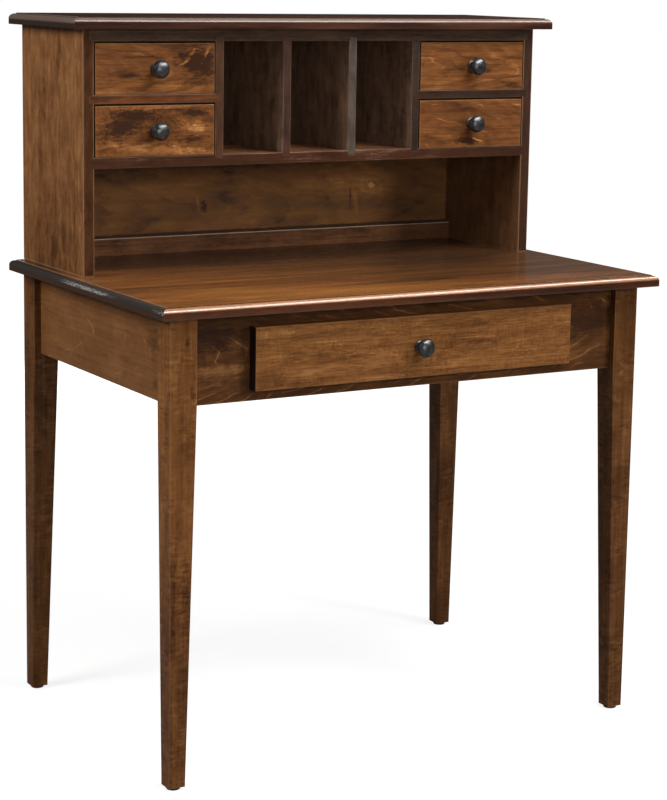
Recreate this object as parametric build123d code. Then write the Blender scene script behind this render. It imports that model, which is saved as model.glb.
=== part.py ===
from build123d import *
import os

# Writing desk on four tapered legs with a wide overlay drawer, and a hutch that stands on it
# with three open cubbies between four small inset drawers.
# Millimetres. +X is to the sitter's right, +Y towards the wall, +Z up. The origin is on the
# floor, in the middle of the whole desk's width and depth, the wide drawer's knob included.

# ---------------------------------------------------------------- desk: driving dimensions
desk_height = 758.0          # floor to writing surface
top_width = 914.0
top_depth = 610.0
top_thickness = 19.0
top_side_overhang = 24.0     # past the legs
top_front_overhang = 27.0
top_back_overhang = 5.0

# moulded edge of both tops, from the flat outwards: a small step, a land, a quarter round
mould_step = 1.5
mould_land = 1.5
mould_round = 8.0

arris_round = 1.0            # eased edges that show
face_round = 1.5             # around the front of the wide drawer's face

leg_size = 45.0              # square, above the taper
foot_size = 28.0             # square, at the floor
leg_edge_radius = 1.5

apron_height = 139.0
apron_thickness = 19.0
apron_inset = 13.0           # apron face behind the leg's outer face

tenon_thickness = 9.0
tenon_shoulder = 5.0         # from the apron's face to its tenon
tenon_end_shoulder = 10.0    # above and below the tenon
tenon_gap = 1.0              # wood left between the two tenons inside a leg

glide_radius = 11.0
glide_height = 5.0
glide_round = 1.5
glide_nail_radius = 1.5
glide_nail_length = 15.0

# wooden buttons that hold the top to the aprons
button_width = 30.0
button_reach = 30.0
button_height = 15.0
button_tongue = 6.0
button_tongue_length = 8.0
button_slot_play = 1.0
button_screw_from_apron = 18.0
button_offset_front = 180.0  # from the middle of the front and back aprons
button_offset_side = 130.0   # from the middle of the side aprons

# blocks across the inside corners of the apron frame, measured along each apron's inner face
block_width = 25.0
block_play = 8.0             # from the drawer runner
block_height = 50.0
block_rise = 40.0            # above the aprons' lower edge
block_screw_from_end = 19.0
block_screw_seat = 14.0      # wood under the screw head

# one wood screw used throughout
screw_length = 28.0
screw_radius = 2.0
screw_head_radius = 4.0
screw_head_height = 2.5
screw_point = 4.0
screw_fit = 0.05

# ---------------------------------------------------------------- wide drawer
wide_face_from_leg = 95.0    # apron that shows at each side of the face
wide_face_height = 99.0
wide_face_thickness = 19.0
wide_face_rise = 17.5        # above the apron's lower edge
wide_lap_side = 14.0         # how far the face covers the apron beside the opening
wide_lap_edge = 10.0         # and above and below it
wide_stop_gap = 0.3          # between the closed face and the apron
wide_side_play = 1.5
wide_top_play = 3.0
wide_floor_play = 0.5
wide_back_play = 33.0        # behind the closed drawer
wide_front_thickness = 13.0
wide_side_thickness = 12.0
wide_back_thickness = 12.0
wide_bottom_thickness = 6.0
wide_bottom_rise = 9.0
wide_groove = 5.0
wide_tail_count = 3
face_screw_from_side = 60.0  # from the box's side to a face screw
face_screw_from_edge = 24.0  # from the box front's edge to a face screw

runner_height = 22.0
runner_inside = 20.0         # carries the drawer, inside the opening's edge
runner_guide = 19.0          # guides it, outside the opening's edge
runner_guide_height = 25.0
strip_tenon = 8.0            # stub tenons of runners and kickers
strip_shoulder = 5.0
kicker_thickness = 16.0

# ---------------------------------------------------------------- hutch
hutch_from_side = 25.5       # from each side edge of the desk top
hutch_depth = 254.0
hutch_setback = 4.0          # from the desk top's back edge
hutch_side_height = 396.0
hutch_side_thickness = 19.0
hutch_top_thickness = 19.0
hutch_top_side_overhang = 24.0
hutch_top_front_overhang = 24.0
open_bay_height = 173.0      # under the shelf
shelf_thickness = 18.0
inner_top_thickness = 20.0
divider_thickness = 15.0
cubby_width = 111.0
drawer_shelf_thickness = 14.0
side_housing = 8.0           # depth of the housings in the sides
thin_housing = 6.0           # depth of the housings in shelf, inner top and dividers
back_panel_thickness = 12.0
back_panel_rebate = 9.0
back_rail_thickness = 12.0
back_rail_height = 30.0
dowel_radius = 4.0
dowel_in_desk = 12.0
dowel_in_hutch = 18.0
dowel_from_end = 50.0        # from the front and back of each side
dowel_fit = 0.05
top_screw_seat = 16.0        # inner top left under a screw head
top_screw_from_end = 60.0    # from the front and back of the inner top
screw_head_pocket = 4.5      # radius of the pocket over a sunk screw head

# ---------------------------------------------------------------- small drawers
small_side_play = 1.8
small_top_play = 3.0
small_floor_play = 0.5
small_back_play = 1.0
small_front_thickness = 18.0
small_front_lap = 6.0        # wood in front of the half-blind dovetails
small_side_thickness = 10.0
small_back_thickness = 10.0
small_bottom_thickness = 5.0
small_bottom_rise = 8.0
small_groove = 4.0
small_tail_count = 3

dovetail_slope = 6.0         # one in six
tail_share = 0.68            # widest part of a tail, of the tail pitch
back_below_side = 4.0        # drawer back lower than its sides

# ---------------------------------------------------------------- knobs
knob_base_radius = 9.5
knob_base_height = 2.0
knob_neck_radius = 5.5
knob_neck_end = 13.0         # neck meets the head, from the drawer front
knob_rim = 20.0              # widest part of the head, from the drawer front
knob_radius = 15.0
knob_length = 29.0
knob_bore_depth = 12.0
knob_screw_radius = 1.95
knob_screw_bite = 10.0
knob_screw_head_radius = 4.5
knob_screw_head_height = 2.4
knob_screw_fit = 0.05
knob_hole_play = 0.35

# ---------------------------------------------------------------- places worked out from them
leg_x = top_width / 2 - top_side_overhang
knob_ahead_of_top = knob_length + wide_face_thickness + wide_stop_gap - top_front_overhang - apron_inset
top_back_y = (top_depth + max(0.0, knob_ahead_of_top)) / 2
top_front_y = top_back_y - top_depth
leg_front_y = top_front_y + top_front_overhang
leg_back_y = top_back_y - top_back_overhang
top_bottom_z = desk_height - top_thickness
apron_z = top_bottom_z - apron_height

apron_outer_x = leg_x - apron_inset
apron_inner_x = apron_outer_x - apron_thickness
apron_front_y = leg_front_y + apron_inset
apron_front_inner_y = apron_front_y + apron_thickness
apron_back_y = leg_back_y - apron_inset
apron_back_inner_y = apron_back_y - apron_thickness
tenon_length = leg_size - apron_inset - tenon_shoulder - tenon_thickness - tenon_gap

wide_face_x = leg_x - leg_size - wide_face_from_leg
wide_face_z = apron_z + wide_face_rise
opening_x = wide_face_x - wide_lap_side
opening_low_z = wide_face_z + wide_lap_edge
opening_high_z = wide_face_z + wide_face_height - wide_lap_edge
wide_face_back_y = apron_front_y - wide_stop_gap
wide_box_length = apron_back_inner_y - wide_back_play - wide_face_back_y

block_outer_reach = apron_inner_x - opening_x - runner_guide - block_play
block_inner_reach = block_outer_reach - block_width
block_screw_reach = block_outer_reach - block_screw_from_end
block_middle_z = apron_z + block_rise + block_height / 2

hutch_base_z = desk_height
hutch_back_y = top_back_y - hutch_setback
hutch_front_y = hutch_back_y - hutch_depth
hutch_outer_x = top_width / 2 - hutch_from_side
hutch_inner_x = hutch_outer_x - hutch_side_thickness
hutch_top_z = hutch_base_z + hutch_side_height
panel_y = hutch_back_y - back_panel_thickness
shelf_z = hutch_base_z + open_bay_height
tier_low_z = shelf_z + shelf_thickness
tier_high_z = hutch_top_z - inner_top_thickness
small_bay_height = (tier_high_z - tier_low_z - drawer_shelf_thickness) / 2
drawer_shelf_z = tier_low_z + small_bay_height
inner_divider_x = (cubby_width + divider_thickness) / 2
outer_divider_x = inner_divider_x + cubby_width + divider_thickness
small_bay_x = outer_divider_x + divider_thickness / 2


# ---------------------------------------------------------------- shapes that recur
def block(x0, x1, y0, y1, z0, z1):
    """Board with square edges between two opposite corners."""
    centre = Pos((x0 + x1) / 2, (y0 + y1) / 2, (z0 + z1) / 2)
    return centre * Box(abs(x1 - x0), abs(y1 - y0), abs(z1 - z0))


def prism(points, direction, length):
    """Closed polygon of 3-D points carried straight along a direction."""
    return extrude(Face(Wire.make_polygon(points)), amount=length, dir=direction)


def rod(start, direction, radius, length):
    """Round rod from a start point along a direction."""
    return Plane(origin=start, z_dir=direction) * Pos(0, 0, length / 2) * Cylinder(radius, length)


def front_eased(piece, axes, radius):
    """A piece whose front arrises along the given axes are rounded."""
    edges = piece.faces().sort_by(Axis.Y)[0].edges()
    return fillet([edge for axis in axes for edge in edges.filter_by(axis)], radius)


def moulded_board(x0, x1, y0, y1, z0, thickness):
    """Board whose four upper edges have a step, a land and a quarter round."""
    slab = block(x0, x1, y0, y1, z0, z0 + thickness - mould_step)
    slab = fillet(slab.faces().sort_by(Axis.Z)[-1].edges(), mould_round)
    slab = fillet(slab.faces().sort_by(Axis.Z)[0].edges(), arris_round)
    inset = mould_round + mould_land
    return slab + block(x0 + inset, x1 - inset, y0 + inset, y1 - inset, z0 + thickness / 2, z0 + thickness)


def screw_body(head, direction, spare):
    """Countersunk wood screw, its head flush at the head point; spare thickens it all over."""
    section = Polyline(
        (0, 0),
        (screw_head_radius + spare, 0),
        (screw_radius + spare, screw_head_height),
        (screw_radius + spare, screw_length - screw_point),
        (0, screw_length + spare),
        close=True,
    )
    frame = Plane(origin=head, x_dir=across(direction), z_dir=across_both(direction))
    return revolve(frame * make_face(section), Axis(head, direction))


def across(direction):
    """A unit vector square to a direction along one of the axes."""
    return Vector(0, 0, 1) if abs(direction[2]) < 0.5 else Vector(1, 0, 0)


def across_both(direction):
    """The normal of the plane that holds a direction as its local Y."""
    return across(direction).cross(Vector(direction))


def screw(place):
    """The screw at a place, which is its head point and its direction."""
    return screw_body(place[0], place[1], 0.0)


def drilled(piece, places):
    """A piece with a close hole for each screw place."""
    for head, direction in places:
        piece = piece - screw_body(head, direction, screw_fit)
    return piece


# ---------------------------------------------------------------- where the screws go
def button_places():
    """Middle, on the apron's inner face, and turn of each top button."""
    middle_y = (leg_front_y + leg_back_y) / 2
    places = []
    for shift in (-button_offset_front, button_offset_front):
        places.append((shift, apron_front_inner_y, 0.0))
        places.append((shift, apron_back_inner_y, 180.0))
    for shift in (-button_offset_side, button_offset_side):
        places.append((-apron_inner_x, middle_y + shift, -90.0))
        places.append((apron_inner_x, middle_y + shift, 90.0))
    return places


def button_screws():
    """Screws up through the buttons into the desk top."""
    low_z = top_bottom_z - button_height
    places = []
    for x, y, turn in button_places():
        seat = Pos(x, y, 0) * Rot(0, 0, turn) * Pos(0, button_screw_from_apron, 0)
        places.append(((seat.position.X, seat.position.Y, low_z), (0, 0, 1)))
    return places


def corners():
    """Side and end of the desk for each of its four corners, as signs along X and Y."""
    return [(-1, -1), (1, -1), (-1, 1), (1, 1)]


def frame_corner(side, end):
    """Inner corner of the apron frame."""
    return side * apron_inner_x, apron_front_inner_y if end < 0 else apron_back_inner_y


def block_screws_along_y(side, end):
    """Screw of a corner block into the front or back apron."""
    x, y = frame_corner(side, end)
    head = (x - side * block_screw_reach, y - end * block_screw_seat, block_middle_z)
    return [(head, (0, end, 0))]


def block_screws_along_x(side, end):
    """Screw of a corner block into a side apron."""
    x, y = frame_corner(side, end)
    head = (x - side * block_screw_seat, y - end * block_screw_reach, block_middle_z)
    return [(head, (side, 0, 0))]


def hutch_top_screws():
    """Screws up through the inner top into the hutch top."""
    head_z = hutch_top_z - top_screw_seat
    rows = (hutch_front_y + top_screw_from_end, panel_y - top_screw_from_end)
    columns = (-(small_bay_x + hutch_inner_x) / 2, 0.0, (small_bay_x + hutch_inner_x) / 2)
    return [((x, y, head_z), (0, 0, 1)) for x in columns for y in rows]


def with_head_pockets(piece, places, depth):
    """Round pockets that let the screw heads sink below the surface."""
    for head, direction in places:
        outwards = tuple(-step for step in direction)
        piece = piece - rod(head, outwards, screw_head_pocket, depth)
    return piece


# ---------------------------------------------------------------- desk
def apron_tenon(side, end, along_x):
    """Tenon of the apron that runs along X, or along Y, into one leg."""
    low_z = apron_z + tenon_end_shoulder
    high_z = top_bottom_z - tenon_end_shoulder
    leg_inner_x = side * (leg_x - leg_size)
    leg_inner_y = leg_front_y + leg_size if end < 0 else leg_back_y - leg_size
    if along_x:
        face_y = apron_front_y if end < 0 else apron_back_y
        near_y = face_y - end * tenon_shoulder
        far_x = leg_inner_x + side * tenon_length
        return block(leg_inner_x, far_x, near_y, near_y - end * tenon_thickness, low_z, high_z)
    near_x = side * (apron_outer_x - tenon_shoulder)
    far_y = leg_inner_y + end * tenon_length
    return block(near_x, near_x - side * tenon_thickness, leg_inner_y, far_y, low_z, high_z)


def leg_section(side, end, size, z):
    """Square section of a leg with eased corners, flush with the leg's two outer faces."""
    y = leg_front_y + size / 2 if end < 0 else leg_back_y - size / 2
    return Pos(side * (leg_x - size / 2), y, z) * RectangleRounded(size, size, leg_edge_radius)


def leg(side, end):
    """Square leg, tapered on its two inner faces below the apron, with mortises and a nail hole."""
    section = leg_section(side, end, leg_size, apron_z)
    upper = extrude(section, amount=top_bottom_z - apron_z, dir=(0, 0, 1))
    shape = upper + loft([leg_section(side, end, foot_size, glide_height), section], ruled=True)
    shape = shape - apron_tenon(side, end, True) - apron_tenon(side, end, False)
    nail_x, nail_y = foot_centre(side, end)
    return shape - rod((nail_x, nail_y, glide_height), (0, 0, 1), glide_nail_radius, glide_nail_length)


def foot_centre(side, end):
    """Middle of a foot in plan."""
    y = leg_front_y + foot_size / 2 if end < 0 else leg_back_y - foot_size / 2
    return side * (leg_x - foot_size / 2), y


def foot_glide(side, end):
    """Nail-on glide: a disc with a rounded lower edge and its nail."""
    x, y = foot_centre(side, end)
    disc = rod((x, y, 0), (0, 0, 1), glide_radius, glide_height)
    disc = fillet(disc.edges().sort_by(Axis.Z)[0], glide_round)
    return disc + rod((x, y, glide_height), (0, 0, 1), glide_nail_radius, glide_nail_length)


def button_slot(x, y, turn):
    """Slot in an apron that takes a button's tongue."""
    low_z = top_bottom_z - button_height
    half = button_width / 2 + button_slot_play
    slot = block(-half, half, -button_tongue_length, 0, low_z, low_z + button_tongue)
    return Pos(x, y, 0) * Rot(0, 0, turn) * slot


def top_button(x, y, turn):
    """Wooden button: a block under the top with a tongue in the apron's slot."""
    low_z = top_bottom_z - button_height
    half = button_width / 2
    body = block(-half, half, 0, button_reach, low_z, top_bottom_z)
    tongue = block(-half, half, -button_tongue_length, 0, low_z, low_z + button_tongue)
    return Pos(x, y, 0) * Rot(0, 0, turn) * (body + tongue)


def slotted(piece, turn):
    """An apron with the slots of the buttons that face the given way."""
    for x, y, button_turn in button_places():
        if button_turn == turn:
            piece = piece - button_slot(x, y, button_turn)
    return piece


def strip_tenons(side, low_z, high_z):
    """Stub tenons of a runner or kicker in the front and back aprons."""
    inner = side * (opening_x - runner_inside + strip_shoulder)
    outer = side * (opening_x + runner_guide - strip_shoulder)
    front = block(inner, outer, apron_front_inner_y - strip_tenon, apron_front_inner_y, low_z, high_z)
    back = block(inner, outer, apron_back_inner_y, apron_back_inner_y + strip_tenon, low_z, high_z)
    return front + back


def runner_tenons(side):
    """Stub tenons of the runner's foot."""
    low_z = opening_low_z - runner_height
    return strip_tenons(side, low_z + strip_shoulder, opening_low_z - strip_shoulder)


def kicker_tenons(side):
    """Stub tenons of the kicker."""
    high_z = opening_high_z + kicker_thickness
    return strip_tenons(side, opening_high_z + strip_shoulder, high_z - strip_shoulder)


def runner(side):
    """Rebated strip: its foot carries the drawer's side and its upright guides it."""
    y0 = apron_front_inner_y
    y1 = apron_back_inner_y
    inner = side * (opening_x - runner_inside)
    edge = side * opening_x
    outer = side * (opening_x + runner_guide)
    foot = block(inner, outer, y0, y1, opening_low_z - runner_height, opening_low_z)
    guide = block(edge, outer, y0, y1, opening_low_z, opening_low_z + runner_guide_height)
    return foot + guide + runner_tenons(side)


def kicker(side):
    """Strip over the drawer's side."""
    inner = side * (opening_x - runner_inside)
    outer = side * (opening_x + runner_guide)
    z0 = opening_high_z
    strip = block(inner, outer, apron_front_inner_y, apron_back_inner_y, z0, z0 + kicker_thickness)
    return strip + kicker_tenons(side)


def corner_block(side, end):
    """Block across an inside corner of the apron frame."""
    x, y = frame_corner(side, end)
    z0 = apron_z + block_rise
    outline = [(block_inner_reach, 0), (block_outer_reach, 0), (0, block_outer_reach), (0, block_inner_reach)]
    points = [(x - side * u, y - end * v, z0) for u, v in outline]
    piece = prism(points, (0, 0, 1), block_height)
    places = block_screws_along_y(side, end) + block_screws_along_x(side, end)
    piece = with_head_pockets(piece, places, block_outer_reach)
    return drilled(piece, places)


def front_or_back_apron(end):
    """Apron that runs along X, with its tenons, button slots and strip mortises."""
    near_y = apron_front_y if end < 0 else apron_back_inner_y
    half = leg_x - leg_size
    piece = block(-half, half, near_y, near_y + apron_thickness, apron_z, top_bottom_z)
    outer_face = piece.faces().sort_by(Axis.Y)[0 if end < 0 else -1]
    piece = fillet(outer_face.edges().sort_by(Axis.Z)[0], arris_round)
    places = []
    for side in (-1, 1):
        piece = piece + apron_tenon(side, end, True)
        piece = piece - runner_tenons(side) - kicker_tenons(side)
        places = places + block_screws_along_y(side, end)
    if end < 0:
        piece = piece - block(
            -opening_x, opening_x, near_y, near_y + apron_thickness, opening_low_z, opening_high_z
        )
    return drilled(slotted(piece, 0.0 if end < 0 else 180.0), places)


def side_apron(side):
    """Apron that runs along Y, with its tenons and button slots."""
    piece = block(
        side * apron_inner_x, side * apron_outer_x, leg_front_y + leg_size, leg_back_y - leg_size,
        apron_z, top_bottom_z,
    )
    outer_face = piece.faces().sort_by(Axis.X)[0 if side < 0 else -1]
    piece = fillet(outer_face.edges().sort_by(Axis.Z)[0], arris_round)
    places = []
    for end in (-1, 1):
        piece = piece + apron_tenon(side, end, False)
        places = places + block_screws_along_x(side, end)
    return drilled(slotted(piece, 90.0 * side), places)


def dowel_places():
    """Middle of each dowel in plan."""
    x = (hutch_outer_x + hutch_inner_x) / 2
    rows = (hutch_front_y + dowel_from_end, hutch_back_y - dowel_from_end)
    return [(side * x, y) for side in (-1, 1) for y in rows]


def dowel(x, y, spare):
    """Dowel half in the desk top and half in a hutch side; spare thickens it for its hole."""
    length = dowel_in_desk + dowel_in_hutch
    return rod((x, y, desk_height - dowel_in_desk), (0, 0, 1), dowel_radius + spare, length)


def bored_for_dowels(piece, side):
    """A piece with the holes of the dowels on one side of the desk."""
    for x, y in dowel_places():
        if x * side > 0:
            piece = piece - dowel(x, y, dowel_fit)
    return piece


def desk_top():
    """Writing surface."""
    half = top_width / 2
    piece = moulded_board(-half, half, top_front_y, top_back_y, top_bottom_z, top_thickness)
    piece = bored_for_dowels(bored_for_dowels(piece, -1), 1)
    return drilled(piece, button_screws())


# ---------------------------------------------------------------- hutch
def back_panel():
    """Back in a rebate of the sides, its grain along X."""
    half = hutch_inner_x + back_panel_rebate
    return block(-half, half, panel_y, hutch_back_y, hutch_base_z, hutch_top_z)


def back_rail():
    """Low rail on the desk top in front of the back panel, housed in the sides."""
    half = hutch_inner_x + side_housing
    front_y = panel_y - back_rail_thickness
    rail = block(-half, half, front_y, panel_y, hutch_base_z, hutch_base_z + back_rail_height)
    return fillet(rail.faces().sort_by(Axis.Y)[0].edges().sort_by(Axis.Z)[-1], arris_round)


def shelf_blank():
    """Shelf before its own housings are cut."""
    half = hutch_inner_x + side_housing
    shelf = block(-half, half, hutch_front_y, panel_y, shelf_z, tier_low_z)
    return front_eased(shelf, [Axis.X], arris_round)


def inner_top_blank():
    """Inner top before its own housings are cut."""
    half = hutch_inner_x + side_housing
    board = block(-half, half, hutch_front_y, panel_y, tier_high_z, hutch_top_z)
    return front_eased(board, [Axis.X], arris_round)


def drawer_shelf(side):
    """Board between the upper and lower drawers of one side."""
    inner = side * (small_bay_x - thin_housing)
    outer = side * (hutch_inner_x + side_housing)
    z0 = drawer_shelf_z
    shelf = block(inner, outer, hutch_front_y, panel_y, z0, z0 + drawer_shelf_thickness)
    return front_eased(shelf, [Axis.X], arris_round)


def divider(x):
    """Upright between shelf and inner top, let into both."""
    half = divider_thickness / 2
    z0 = tier_low_z - thin_housing
    z1 = tier_high_z + thin_housing
    upright = block(x - half, x + half, hutch_front_y, panel_y, z0, z1)
    return front_eased(upright, [Axis.Z], arris_round)


def divider_places():
    """Middle of each divider along X."""
    return (-outer_divider_x, -inner_divider_x, inner_divider_x, outer_divider_x)


def housed_for_dividers(piece):
    """A board with the housings of the four dividers."""
    for x in divider_places():
        piece = piece - divider(x)
    return piece


def hutch_side(side):
    """Upright end of the hutch, housed for everything that it carries."""
    piece = block(
        side * hutch_inner_x, side * hutch_outer_x, hutch_front_y, hutch_back_y, hutch_base_z, hutch_top_z
    )
    piece = front_eased(piece, [Axis.Z], arris_round)
    for housed in (back_panel(), back_rail(), shelf_blank(), inner_top_blank(), drawer_shelf(side)):
        piece = piece - housed
    return bored_for_dowels(piece, side)


def inner_top():
    """Board under the hutch top, screwed up into it."""
    piece = housed_for_dividers(inner_top_blank())
    piece = with_head_pockets(piece, hutch_top_screws(), inner_top_thickness)
    return drilled(piece, hutch_top_screws())


def hutch_top():
    """Moulded board on top of the hutch."""
    half = hutch_outer_x + hutch_top_side_overhang
    y0 = hutch_front_y - hutch_top_front_overhang
    piece = moulded_board(-half, half, y0, hutch_back_y, hutch_top_z, hutch_top_thickness)
    return drilled(piece, hutch_top_screws())


# ---------------------------------------------------------------- drawers and knobs
def knob(x, face_y, z):
    """Mushroom knob on a waisted neck, bored for its screw."""
    frame = Plane(origin=(x, face_y, z), x_dir=(1, 0, 0), z_dir=(0, 0, -1))
    flare = knob_base_radius - knob_neck_radius
    swell = knob_radius - knob_neck_radius
    waist = EllipticalCenterArc(
        (knob_base_radius, knob_neck_end), flare, knob_neck_end - knob_base_height, 180, arc_size=90
    )
    underside = EllipticalCenterArc(
        (knob_neck_radius, knob_rim), swell, knob_rim - knob_neck_end, 270, arc_size=90
    )
    dome = EllipticalCenterArc((0, knob_rim), knob_radius, knob_length - knob_rim, 0, arc_size=90)
    base = Polyline((0, knob_length), (0, 0), (knob_base_radius, 0), (knob_base_radius, knob_base_height))
    section = make_face([waist, underside, dome, base])
    body = revolve(frame * section, Axis((x, face_y, z), (0, -1, 0)))
    return body - rod((x, face_y, z), (0, -1, 0), knob_screw_radius + knob_screw_fit, knob_bore_depth)


def knob_screw(x, face_y, z, wood):
    """Machine screw from inside the drawer through the given thickness of wood into the knob."""
    inside_y = face_y + wood
    shank = rod((x, inside_y, z), (0, -1, 0), knob_screw_radius, wood + knob_screw_bite)
    head = rod((x, inside_y, z), (0, 1, 0), knob_screw_head_radius, knob_screw_head_height)
    return shank + head


def knob_hole(x, face_y, z, wood):
    """Clearance hole for the knob's screw."""
    return rod((x, face_y, z), (0, 1, 0), knob_screw_radius + knob_hole_play, wood)


class DrawerBox:
    """Dovetailed box: a front board, two sides, a back let into them and a bottom in grooves."""

    def __init__(self, x0, x1, y0, z0, height, length, front, lap, side, back, bottom, rise, groove, tails):
        self.x0 = x0
        self.x1 = x1
        self.y0 = y0
        self.z0 = z0
        self.z1 = z0 + height
        self.y1 = y0 + length
        self.front_thickness = front
        self.tail_length = front - lap
        self.side_thickness = side
        self.back_thickness = back
        self.bottom_thickness = bottom
        self.bottom_rise = rise
        self.groove = groove
        self.tails = tails

    def shoulder_y(self):
        """Back face of the front board, where the sides' shoulders meet it."""
        return self.y0 + self.front_thickness

    def tail_set(self, x_low):
        """Dovetails of the side whose lower X is given."""
        pitch = (self.z1 - self.z0) / self.tails
        wide = pitch * tail_share / 2
        narrow = wide - self.tail_length / dovetail_slope
        tip_y = self.shoulder_y() - self.tail_length
        tails = []
        for index in range(self.tails):
            middle = self.z0 + pitch * (index + 0.5)
            outline = [
                (x_low, self.shoulder_y(), middle - narrow),
                (x_low, tip_y, middle - wide),
                (x_low, tip_y, middle + wide),
                (x_low, self.shoulder_y(), middle + narrow),
            ]
            tails.append(prism(outline, (1, 0, 0), self.side_thickness))
        return tails

    def side_lows(self):
        """Lower X of each side."""
        return (self.x0, self.x1 - self.side_thickness)

    def between_grooves(self):
        """Lower and upper X of what is let into both sides."""
        inset = self.side_thickness - self.groove
        return (self.x0 + inset, self.x1 - inset)

    def bottom(self):
        """Bottom in the grooves of the front and the sides, running out under the back."""
        x0, x1 = self.between_grooves()
        z = self.z0 + self.bottom_rise
        return block(x0, x1, self.shoulder_y() - self.groove, self.y1, z, z + self.bottom_thickness)

    def back(self):
        """Back that stands on the bottom between the sides."""
        x0, x1 = self.between_grooves()
        z = self.z0 + self.bottom_rise + self.bottom_thickness
        return block(x0, x1, self.y1 - self.back_thickness, self.y1, z, self.z1 - back_below_side)

    def front(self):
        """Front board with the sockets of the dovetails and the bottom's groove."""
        board = block(self.x0, self.x1, self.y0, self.shoulder_y(), self.z0, self.z1)
        for low in self.side_lows():
            for tail in self.tail_set(low):
                board = board - tail
        return board - self.bottom()

    def sides(self):
        """Both sides with their tails and grooves."""
        boards = []
        for low in self.side_lows():
            board = block(low, low + self.side_thickness, self.shoulder_y(), self.y1, self.z0, self.z1)
            for tail in self.tail_set(low):
                board = board + tail
            boards.append(board - self.bottom() - self.back())
        return boards


def wide_drawer():
    """The wide drawer: an overlay face screwed to a dovetailed box, and its knob."""
    half = opening_x - wide_side_play
    z0 = opening_low_z + wide_floor_play
    height = opening_high_z - opening_low_z - wide_floor_play - wide_top_play
    box = DrawerBox(
        -half, half, wide_face_back_y, z0, height, wide_box_length, wide_front_thickness, 0.0,
        wide_side_thickness, wide_back_thickness, wide_bottom_thickness, wide_bottom_rise, wide_groove,
        wide_tail_count,
    )
    wood = wide_face_thickness + wide_front_thickness
    face_y = wide_face_back_y - wide_face_thickness
    middle_z = wide_face_z + wide_face_height / 2
    hole = knob_hole(0, face_y, middle_z, wood)
    screw_x = half - wide_side_thickness - face_screw_from_side
    heads_z = (z0 + face_screw_from_edge, z0 + height - face_screw_from_edge)
    inside_y = box.shoulder_y()
    places = [((x, inside_y, z), (0, -1, 0)) for x in (-screw_x, screw_x) for z in heads_z]
    face = block(
        -wide_face_x, wide_face_x, face_y, wide_face_back_y,
        wide_face_z, wide_face_z + wide_face_height,
    )
    face = front_eased(face, [Axis.X, Axis.Z], face_round)
    return {
        "main_drawer_face": drilled(face, places) - hole,
        "main_drawer_box_front": drilled(box.front(), places) - hole,
        "main_drawer_sides": box.sides(),
        "main_drawer_back": box.back(),
        "main_drawer_bottom": box.bottom(),
        "main_drawer_knob": knob(0, face_y, middle_z),
        "main_drawer_screws": [screw(place) for place in places] + [knob_screw(0, face_y, middle_z, wood)],
    }


def small_drawer(name, side, floor_z):
    """Inset drawer on one side of the hutch, standing on the given floor."""
    near = small_bay_x + small_side_play
    far = hutch_inner_x - small_side_play
    x0, x1 = (near, far) if side > 0 else (-far, -near)
    z0 = floor_z + small_floor_play
    height = small_bay_height - small_floor_play - small_top_play
    length = panel_y - hutch_front_y - small_back_play
    box = DrawerBox(
        x0, x1, hutch_front_y, z0, height, length, small_front_thickness, small_front_lap,
        small_side_thickness, small_back_thickness, small_bottom_thickness, small_bottom_rise, small_groove,
        small_tail_count,
    )
    middle_x = (x0 + x1) / 2
    middle_z = z0 + height / 2
    front = front_eased(box.front(), [Axis.X, Axis.Z], arris_round)
    return {
        name + "_front": front - knob_hole(middle_x, hutch_front_y, middle_z, small_front_thickness),
        name + "_sides": box.sides(),
        name + "_back": box.back(),
        name + "_bottom": box.bottom(),
        name + "_knob": knob(middle_x, hutch_front_y, middle_z),
        name + "_knob_screw": knob_screw(middle_x, hutch_front_y, middle_z, small_front_thickness),
    }


# ---------------------------------------------------------------- all the pieces
def all_pieces():
    """Every node by name: one solid, or a list of the solids that it groups."""
    wood_screws = [screw(place) for place in button_screws() + hutch_top_screws()]
    for side, end in corners():
        for place in block_screws_along_y(side, end) + block_screws_along_x(side, end):
            wood_screws.append(screw(place))
    pieces = {
        "desk_top": desk_top(),
        "apron_front": front_or_back_apron(-1),
        "apron_back": front_or_back_apron(1),
        "apron_left": side_apron(-1),
        "apron_right": side_apron(1),
        "drawer_runners": [runner(-1), runner(1)],
        "drawer_kickers": [kicker(-1), kicker(1)],
        "corner_blocks": [corner_block(side, end) for side, end in corners()],
        "top_buttons": [drilled(top_button(*place), button_screws()) for place in button_places()],
        "foot_glides": [foot_glide(side, end) for side, end in corners()],
        "wood_screws": wood_screws,
        "hutch_side_left": hutch_side(-1),
        "hutch_side_right": hutch_side(1),
        "hutch_top": hutch_top(),
        "hutch_inner_top": inner_top(),
        "hutch_shelf": housed_for_dividers(shelf_blank()),
        "hutch_back_panel": back_panel(),
        "hutch_back_rail": back_rail(),
        "hutch_dowels": [dowel(x, y, 0.0) for x, y in dowel_places()],
        "drawer_shelf_left": drawer_shelf(-1),
        "drawer_shelf_right": drawer_shelf(1),
    }
    for side, end in corners():
        name = "leg_" + ("front" if end < 0 else "back") + ("_left" if side < 0 else "_right")
        pieces[name] = leg(side, end)
    divider_names = ("outer_left", "inner_left", "inner_right", "outer_right")
    for label, x in zip(divider_names, divider_places()):
        pieces["hutch_divider_" + label] = divider(x) - drawer_shelf(-1) - drawer_shelf(1)
    pieces.update(wide_drawer())
    upper_z = drawer_shelf_z + drawer_shelf_thickness
    for side, label in ((-1, "left"), (1, "right")):
        pieces.update(small_drawer("upper_" + label + "_drawer", side, upper_z))
        pieces.update(small_drawer("lower_" + label + "_drawer", side, tier_low_z))
    return pieces


def write_pieces():
    """Write one STEP file per node."""
    os.makedirs("parts", exist_ok=True)
    for name, solid in all_pieces().items():
        shape = Compound(children=[*solid]) if isinstance(solid, list) else solid
        export_step(shape, os.path.join("parts", name + ".step"))


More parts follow.
